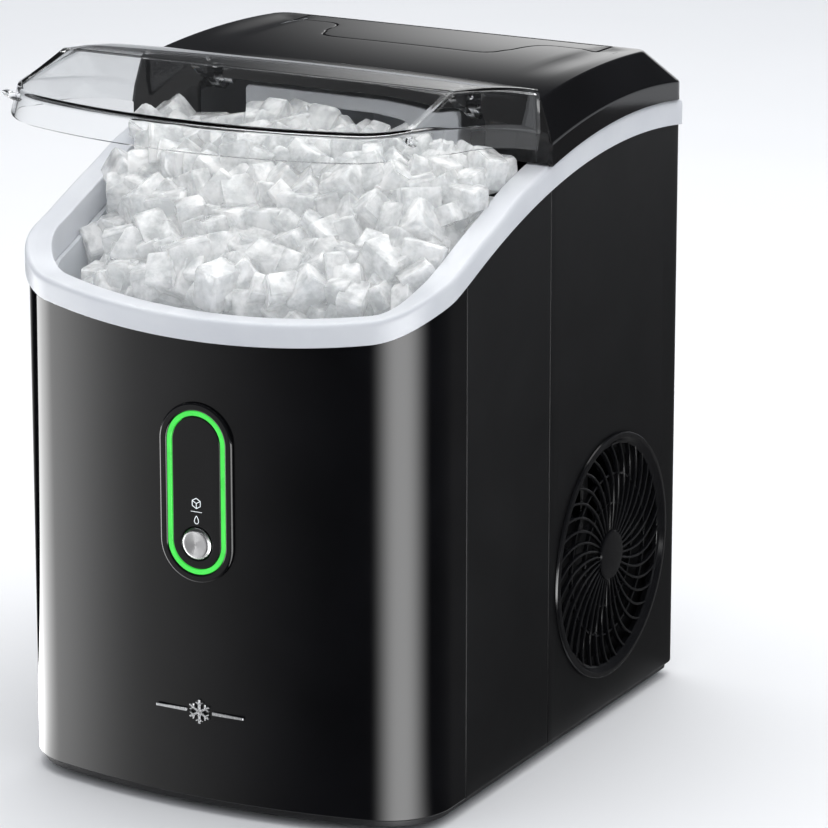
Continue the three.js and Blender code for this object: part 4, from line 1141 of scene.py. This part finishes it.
# ---------------------------------------------------------------- ice
def nugget(rng):
    """One irregular block of compressed ice: a skewed, chipped cube with narrow worn edges."""
    bm = bmesh.new()
    length = rng.uniform(8.5, 12.5)
    half = (length, length * rng.uniform(0.70, 0.95), length * rng.uniform(0.55, 0.80))
    for sx in (-1, 1):
        for sy in (-1, 1):
            for sz in (-1, 1):
                chip = rng.uniform(0.10, 0.34)
                for axis in range(3):
                    corner = [sx, sy, sz]
                    corner[axis] *= 1 - chip
                    point = [c * h * rng.uniform(0.90, 1.04) for c, h in zip(corner, half)]
                    bm.verts.new([c * 0.001 for c in point])
    bmesh.ops.convex_hull(bm, input=bm.verts)
    loose = [v for v in bm.verts if not v.link_faces]
    bmesh.ops.delete(bm, geom=loose, context="VERTS")
    bmesh.ops.dissolve_limit(bm, angle_limit=0.16, verts=bm.verts, edges=bm.edges)
    bmesh.ops.bevel(bm, geom=bm.edges[:], offset=0.0008, segments=2, affect="EDGES", clamp_overlap=True)
    bmesh.ops.triangulate(bm, faces=bm.faces)
    bm.verts.index_update()
    verts = [v.co.copy() for v in bm.verts]
    faces = [tuple(v.index for v in f.verts) for f in bm.faces]
    bm.free()
    return verts, faces


def heap_z(x, y):
    """The surface of the heaped ice."""
    base = 253.0 + 60.0 * smooth((y - 8.0) / 132.0) + 6.0 * math.sin(math.pi * min(max((y - 20) / 120, 0), 1))
    dome = 9.0 * (1 - (x / 104.0) ** 2)
    hollow = -38.0 * smooth((-x - 58.0) / 44.0) * smooth((104.0 - y) / 50.0)
    return base + dome + hollow


def in_bin(x, y, margin):
    """Whether a place is inside the bin's wall by a margin."""
    if y > 144.0 - margin * 0.4:
        return False
    inset = 15.1 + margin
    if abs(x) > WIDTH / 2 - inset:
        return False
    if abs(x) > CORNER_X and y < CORNER_Y:
        return math.hypot(abs(x) - CORNER_X, y - CORNER_Y) < CORNER_R - inset
    return math.hypot(x, y - ARC_R) < ARC_R - inset


def ice_heap():
    rng = random.Random(7)
    lumps = [nugget(rng) for _ in range(26)]
    parts = []
    for layer, drop in enumerate((1.5, 10.5, 20.0)):
        pitch = 13.2
        row = 0
        y = 18.0
        while y < 146.0:
            x = -104.0 + (pitch / 2 if (row + layer) % 2 else 0)
            while x < 104.0:
                px, py = x + rng.uniform(-3.6, 3.6), y + rng.uniform(-3.6, 3.6)
                if in_bin(px, py, 4.0 if layer == 0 else 8.0):
                    verts, faces = lumps[rng.randrange(len(lumps))]
                    axis = Vector((rng.gauss(0, 1), rng.gauss(0, 1), rng.gauss(0, 1))).normalized()
                    turn = Matrix.Rotation(rng.uniform(0, 2 * math.pi), 3, axis)
                    size = rng.uniform(0.66, 1.02)
                    centre = at(px, py, heap_z(px, py) - drop + rng.uniform(-3.0, 3.0))
                    parts.append(([centre + turn @ (v * size) for v in verts], faces))
                x += pitch
            y += pitch * 0.87
            row += 1
    return add_mesh(parts)


def packed_ice():
    """The body of ice under the loose lumps."""
    outline = [spot(s, 16.6) for s in both(front_run(140.0, 14))]
    outline = [(x, min(y, 143.0)) for x, y in outline]

    def place(u, v, depth):
        bumps = 3.0 * noise.noise(Vector((u * 0.11, v * 0.11, 3.0)))
        bumps += 1.4 * noise.noise(Vector((u * 0.3, v * 0.3, 9.0)))
        return at(u, v, heap_z(u, v) - 20.0 + bumps - depth)

    return plate(outline, [], place, 60.0, fillet=0.5, spacing=4.0)


# ---------------------------------------------------------------- making the pieces
def cabinet():
    make("front_shell_gloss", *front_shell(), PIANO, slot="gloss_black", stands_for=["front_shell"])
    make("side_panel_right_satin", *side_panel(1), SATIN, slot="matte_black", stands_for=["side_panel_right"])
    make("side_panel_left_satin", *side_panel(-1), SATIN, slot="matte_black", stands_for=["side_panel_left"])
    rear = make("rear_shell_satin", *rear_shell(), SATIN, slot="matte_black", stands_for=["rear_shell"],
                weighted=False)
    vent_hole = [(0, -130), (VENT_R - 4, -130), (VENT_R - 4, 130), (0, 130)]
    drain_hole = [(0, -15), (9.5, -15), (9.5, 15), (0, 15)]
    tools = [turned(vent_hole, "x", (0, VENT_Y, VENT_Z), 96),
             block(-94, -66, DEPTH - 12, DEPTH + 12, 28, 52, 1.5),
             turned(drain_hole, "y", (70, DEPTH, 24), 48)]
    for row in range(4):
        tools.append(block(-45, 45, DEPTH - 12, DEPTH + 12, 206 + 13 * row, 211 + 13 * row, 2.4))
    boolean(rear, tools)
    make("collar_white", *collar(), WHITE, slot="white_plastic", stands_for=["collar"])
    make("base_tray_moulded", *base_tray(), COARSE, slot="matte_black", stands_for=["base_tray"])
    make("bin_liner_white", *bin_liner(), BIN_WHITE, slot="white_plastic", stands_for=["bin_liner"])
    profile = [(0, 0), (9.5, 0), (9.8, 0.5), (11.0, 0.5), (11.6, 0.15), (12.4, 0.3), (13, 1.0), (13, 3.2),
               (12.6, 3.7), (0, 3.7)]
    for end, y in (("front", 46), ("rear", 282)):
        for side, x in (("left", -88), ("right", 88)):
            name = "foot_" + end + "_" + side
            make(name + "_rubber", *turned(profile, "z", (x, y, -8), 64), RUBBER, slot="rubber",
                 stands_for=[name])


def cover():
    shell = make("top_cover_gloss", *top_cover(), PIANO, slot="gloss_black", stands_for=["top_cover"],
                 weighted=False)
    centre = at(0, 215, 300)
    facing = sum(p.area * (p.center - centre).dot(p.normal) for p in shell.data.polygons)
    if facing < 0:
        shell.data.flip_normals()
    thick = shell.modifiers.new("thickness", "SOLIDIFY")
    thick.thickness = 0.0022
    thick.offset = -1.0
    thick.use_even_offset = True
    thick.use_rim = True
    apply_modifiers(shell)
    shade(shell, 40)
    even = shell.modifiers.new("even_shading", "WEIGHTED_NORMAL")
    even.keep_sharp = True
    make("top_cover_arch", *cover_front(), PIANO, slot="gloss_black", stands_for=["top_cover"])
    pin = section([(0, -9), (2.5, -9), (2.5, 9), (0, 9)], 0.4, 3)
    for side, name in ((1, "right"), (-1, "left")):
        make("hinge_cheek_" + name, *hinge_cheek(side), PIANO, slot="gloss_black", stands_for=["top_cover"])
        name = "lid_pin_" + name
        make(name + "_steel", *turned(pin, "x", (side * 76, LID_HINGE_Y, LID_HINGE_Z), 48), STEEL,
             slot="steel", stands_for=[name])
    make("refill_flap_gloss", *refill_flap(), PIANO, body="flap", slot="gloss_black",
         stands_for=["refill_flap"])
    lid = [lid_shell(), lid_arm(1), lid_arm(-1), corner_tab(1), corner_tab(-1)]
    make("clear_lid_moulded", *add_mesh(lid), CLEAR, body="lid", slot="clear_plastic",
         stands_for=["clear_lid"], sharp=40)


def control_panel():
    make("control_bezel_gloss", *control_bezel(), PIANO, slot="gloss_black", stands_for=["control_bezel"])
    ring = section([(0, -1.4), (2.5, -1.4), (2.5, 2.6), (0, 2.6)], 0.4, 3)
    make("light_ring_lit", *ring_sweep(33.4, 85.4, ring), GREEN, slot="green_light",
         stands_for=["light_ring"])
    make("display_window_gloss", *display_window(), PIANO, slot="gloss_black", stands_for=["display_window"])
    make("start_button_spun", *start_button(), SPUN, body="button", slot="steel", stands_for=["start_button"])
    make("display_icons", *icons(), ICON, slot="white_plastic")
    make("badge_silver_crystal", *badge(), BADGE, slot="badge_silver", stands_for=["front_emblem"])


def chute():
    """The white plate over the chute with its duct, and the pale guide beside it."""
    middle = (10.5, 310.25)
    mouth = rounded_rect(54, 36.5, 4.0, middle=middle)
    sheet = plate(rounded_rect(124, 45, 3.0, middle=(4, 313.5)), [mouth], upright(152.5), 3.5, fillet=0.8,
                  spacing=7.0)
    outer = rounded_rect(58, 40.5, 5.0, middle=middle)
    tube = loft(along_y(mouth, 156.2, 218.0) + along_y(outer, 218.0, 156.2), ring=True)
    back = block(-18, 39, 216.5, 218.5, 290, 330, 5.0)
    make("ice_chute_white", *add_mesh([sheet, tube, back]), WHITE, slot="white_plastic",
         stands_for=["ice_chute"])


def back_details():
    middle = (-80, 40)
    hole = rounded_rect(22, 18, 2.0, middle=middle)
    rim = rounded_rect(38, 30, 3.0, middle=middle)
    flange = plate(rim, [hole], upright(DEPTH + 2, -1), 1.7, fillet=0.5, spacing=5.0)
    outer = rounded_rect(25, 21, 2.0, middle=middle)
    well = loft(along_y(hole, DEPTH + 0.5, DEPTH - 12) + along_y(outer, DEPTH - 12, DEPTH + 0.5), ring=True)
    parts = [flange, well, block(-92, -68, DEPTH - 14, DEPTH - 12, 30, 50, 2.0)]
    for x, z in ((-80, 45), (-86, 36), (-74, 36)):
        parts.append(block(x - 1, x + 1, DEPTH - 12.5, DEPTH - 8, z - 2, z + 2, 0.6))
    make("power_inlet_moulded", *add_mesh(parts), COARSE, slot="matte_black", stands_for=["power_inlet"])
    profile = section([(0, -12), (8.4, -12), (8.8, -11), (8.8, 0.3), (11, 0.3), (11, 3.2), (9.2, 5.1),
                       (4.3, 5.4), (4, 9.2), (0, 9.3)], 0.5, 3)
    make("drain_plug_rubber", *turned(profile, "y", (70, DEPTH, 24), 64), RUBBER, body="drain", slot="rubber",
         stands_for=["drain_plug"])
    for end, z in (("upper", 280), ("lower", 12)):
        for side, x in (("left", -104), ("right", 104)):
            name = "back_screw_" + end + "_" + side
            head = make(name + "_steel", *screw_head(x, z), STEEL, slot="steel", stands_for=[name],
                        weighted=False)
            tools = [block(x - u, x + u, DEPTH + 1.2, DEPTH + 4, z - v, z + v, 0.1)
                     for u, v in ((2.0, 0.4), (0.4, 2.0))]
            boolean(head, tools)


def vents():
    for side, name in ((1, "right"), (-1, "left")):
        make("vent_grille_" + name + "_moulded", *vent(side), VENT_BLACK, slot="gloss_black",
             stands_for=["vent_grille_" + name])


def ice_pieces():
    make("ice_nuggets", *ice_heap(), ICE, slot="clear_plastic", sharp=60, weighted=False)
    make("ice_packed_core", *packed_ice(), PACKED, slot="clear_plastic", sharp=60, weighted=False)


def carried_over():
    """Materials for the CAD nodes that are shown as they are, mostly inside the cabinet."""
    by_slot = {
        "gloss_black": PIANO, "matte_black": COARSE, "white_plastic": BIN_WHITE, "clear_plastic": CLEAR,
        "steel": STEEL, "copper": COPPER, "rubber": RUBBER, "foam": FOAM, "green_light": GREEN,
        "circuit_board": BOARD, "badge_silver": BADGE, "fin_aluminium": ALUMINIUM,
    }
    slots = {p["node"]: p["material_slot"] for p in frame["record"]["subparts"]}
    for name, node in frame["nodes"].items():
        node.data.materials.clear()
        node.data.materials.append(by_slot[slots[name]])


# ---------------------------------------------------------------- studio
def soft_light(name, place, target, width, height, brightness, diffuse=True, glossy=True, fade=None):
    """An area light of a given brightness. fade is two (axis, dark, full) ramps in metres."""
    data = bpy.data.lights.new(name, "AREA")
    data.shape = "RECTANGLE"
    data.size = width
    data.size_y = height
    data.energy = brightness * width * height * math.pi
    if fade:
        data.use_nodes = True
        tree = data.node_tree
        position = add_node(tree, "NewGeometry").outputs["Position"]
        split = add_node(tree, "SeparateXYZ", Vector=position)
        shares = []
        for axis, dark, full in fade:
            low, high = sorted((dark, full))
            shares.append(span(tree, split.outputs[axis], float(full < dark), float(dark < full), low, high,
                               "SMOOTHSTEP"))
        feed(tree, tree.nodes["Emission"], {"Strength": maths(tree, "MULTIPLY", *shares)})
    light = link_up(name, data)
    light.location = place
    light.rotation_euler = (Vector(target) - Vector(place)).to_track_quat("-Z", "Y").to_euler()
    light.visible_camera = False
    light.visible_diffuse = diffuse
    light.visible_glossy = glossy


def maths(tree, operation, *values):
    node = add_node(tree, "Math")
    node.operation = operation
    feed(tree, node, dict(enumerate(values)))
    return node.outputs["Value"]


def angle_about(tree, centre):
    """The direction, in radians, from a point on the floor to the shaded point."""
    position = add_node(tree, "NewGeometry").outputs["Position"]
    shift = add_node(tree, "VectorMath")
    shift.operation = "SUBTRACT"
    feed(tree, shift, {0: position, 1: centre})
    split = add_node(tree, "SeparateXYZ", Vector=shift.outputs["Vector"])
    return maths(tree, "ARCTAN2", split.outputs["Y"], split.outputs["X"])


def lobe(tree, angle, middle, width, power):
    """A soft bell of brightness about a direction, with both in degrees."""
    away = maths(tree, "ABSOLUTE", maths(tree, "SUBTRACT", angle, math.radians(middle)))
    return span(tree, away, power, 0.0, 0.0, math.radians(width), "SMOOTHERSTEP")


def reflector():
    """A card laid round the machine, seen only in glossy reflections: dark, with soft bright bands."""
    mesh = bpy.data.meshes.new("studio_reflector")
    bm = bmesh.new()
    inner = [at(*spot(s, -6.0), 0.0) for s in closed_loop()]
    hub = at(0, 120, 0)
    rim = [hub + (p - hub).normalized() * 1.7 for p in inner]
    loops = []
    for points in (inner, rim):
        loops.append([bm.verts.new((p.x, p.y, 0.0015)) for p in points])
    for i in range(len(inner)):
        bm.faces.new((loops[0][i - 1], loops[1][i - 1], loops[1][i], loops[0][i]))
    bm.to_mesh(mesh)
    bm.free()
    card = link_up("studio_reflector", mesh)
    material = bpy.data.materials.new("reflector")
    material.use_nodes = True
    tree = material.node_tree
    tree.nodes.clear()
    wide = angle_about(tree, at(75, 125, 0))
    tight = angle_about(tree, at(92, 30, 0))
    bands = lobe(tree, wide, -168, 41, 6.5)
    for angle, middle, width, power in ((wide, -163, 76, 1.5), (tight, -40, 54, 9.0), (tight, 70, 70, 0.09),
                                        (tight, 120, 45, 1.2)):
        bands = maths(tree, "ADD", bands, lobe(tree, angle, middle, width, power))
    glow = add_node(tree, "Emission", Strength=bands)
    add_node(tree, "OutputMaterial", Surface=glow.outputs["Emission"])
    card.data.materials.append(material)
    card.visible_camera = False
    card.visible_diffuse = False
    card.visible_shadow = False
    card.visible_transmission = False


def studio():
    mesh = bpy.data.meshes.new("studio_floor")
    bm = bmesh.new()
    bmesh.ops.create_grid(bm, x_segments=8, y_segments=8, size=8.0)
    bm.to_mesh(mesh)
    bm.free()
    floor = link_up("studio_floor", mesh)
    material, tree, shader = new_material("pale_floor")
    feed(tree, shader, {
        "Base Color": tint(tree, grain(tree, 3.0), (0.83, 0.83, 0.835), (0.85, 0.85, 0.855)),
        "Roughness": 1.0,
        "Specular IOR Level": 0.0,
    })
    floor.data.materials.append(material)

    world = bpy.data.worlds.new("studio_air")
    SCENE.world = world
    world.use_nodes = True
    tree = world.node_tree
    mirrored = add_node(tree, "LightPath").outputs["Is Glossy Ray"]
    feed(tree, tree.nodes["Background"], {
        "Color": (0.92, 0.95, 1.0, 1),
        "Strength": span(tree, mirrored, 0.74, 0.06, 0.0, 1.0),
    })

    soft_light("overhead", (0.1, 0.25, 1.9), (0.0, 0.0, 0.1), 2.6, 2.6, 1.75, glossy=False)
    soft_light("back_card", (-1.0, 1.75, 0.82), (0.0, 0.1, 0.36), 3.0, 1.1, 1.15, diffuse=False,
               fade=(("X", -1.12, -0.70), ("Z", 1.2, 0.5)))
    soft_light("top_card", (-0.2, 0.6, 1.7), (0.0, 0.0, 0.3), 1.2, 0.8, 1.6, diffuse=False)
    reflector()

    lens = bpy.data.cameras.new("camera")
    lens.lens = 211.09
    lens.sensor_width = 36.0
    lens.clip_start = 0.05
    lens.clip_end = 40.0
    camera = link_up("camera", lens)
    camera.location = at(1188.72, -2004.34, 870.77)
    camera.rotation_euler = Vector((-0.45134, 0.84879, -0.27539)).to_track_quat("-Z", "Y").to_euler()
    SCENE.camera = camera
    SCENE.view_settings.view_transform = "Standard"


carried_over()
cabinet()
cover()
control_panel()
chute()
back_details()
vents()
ice_pieces()
studio()

bpy.context.view_layer.update()
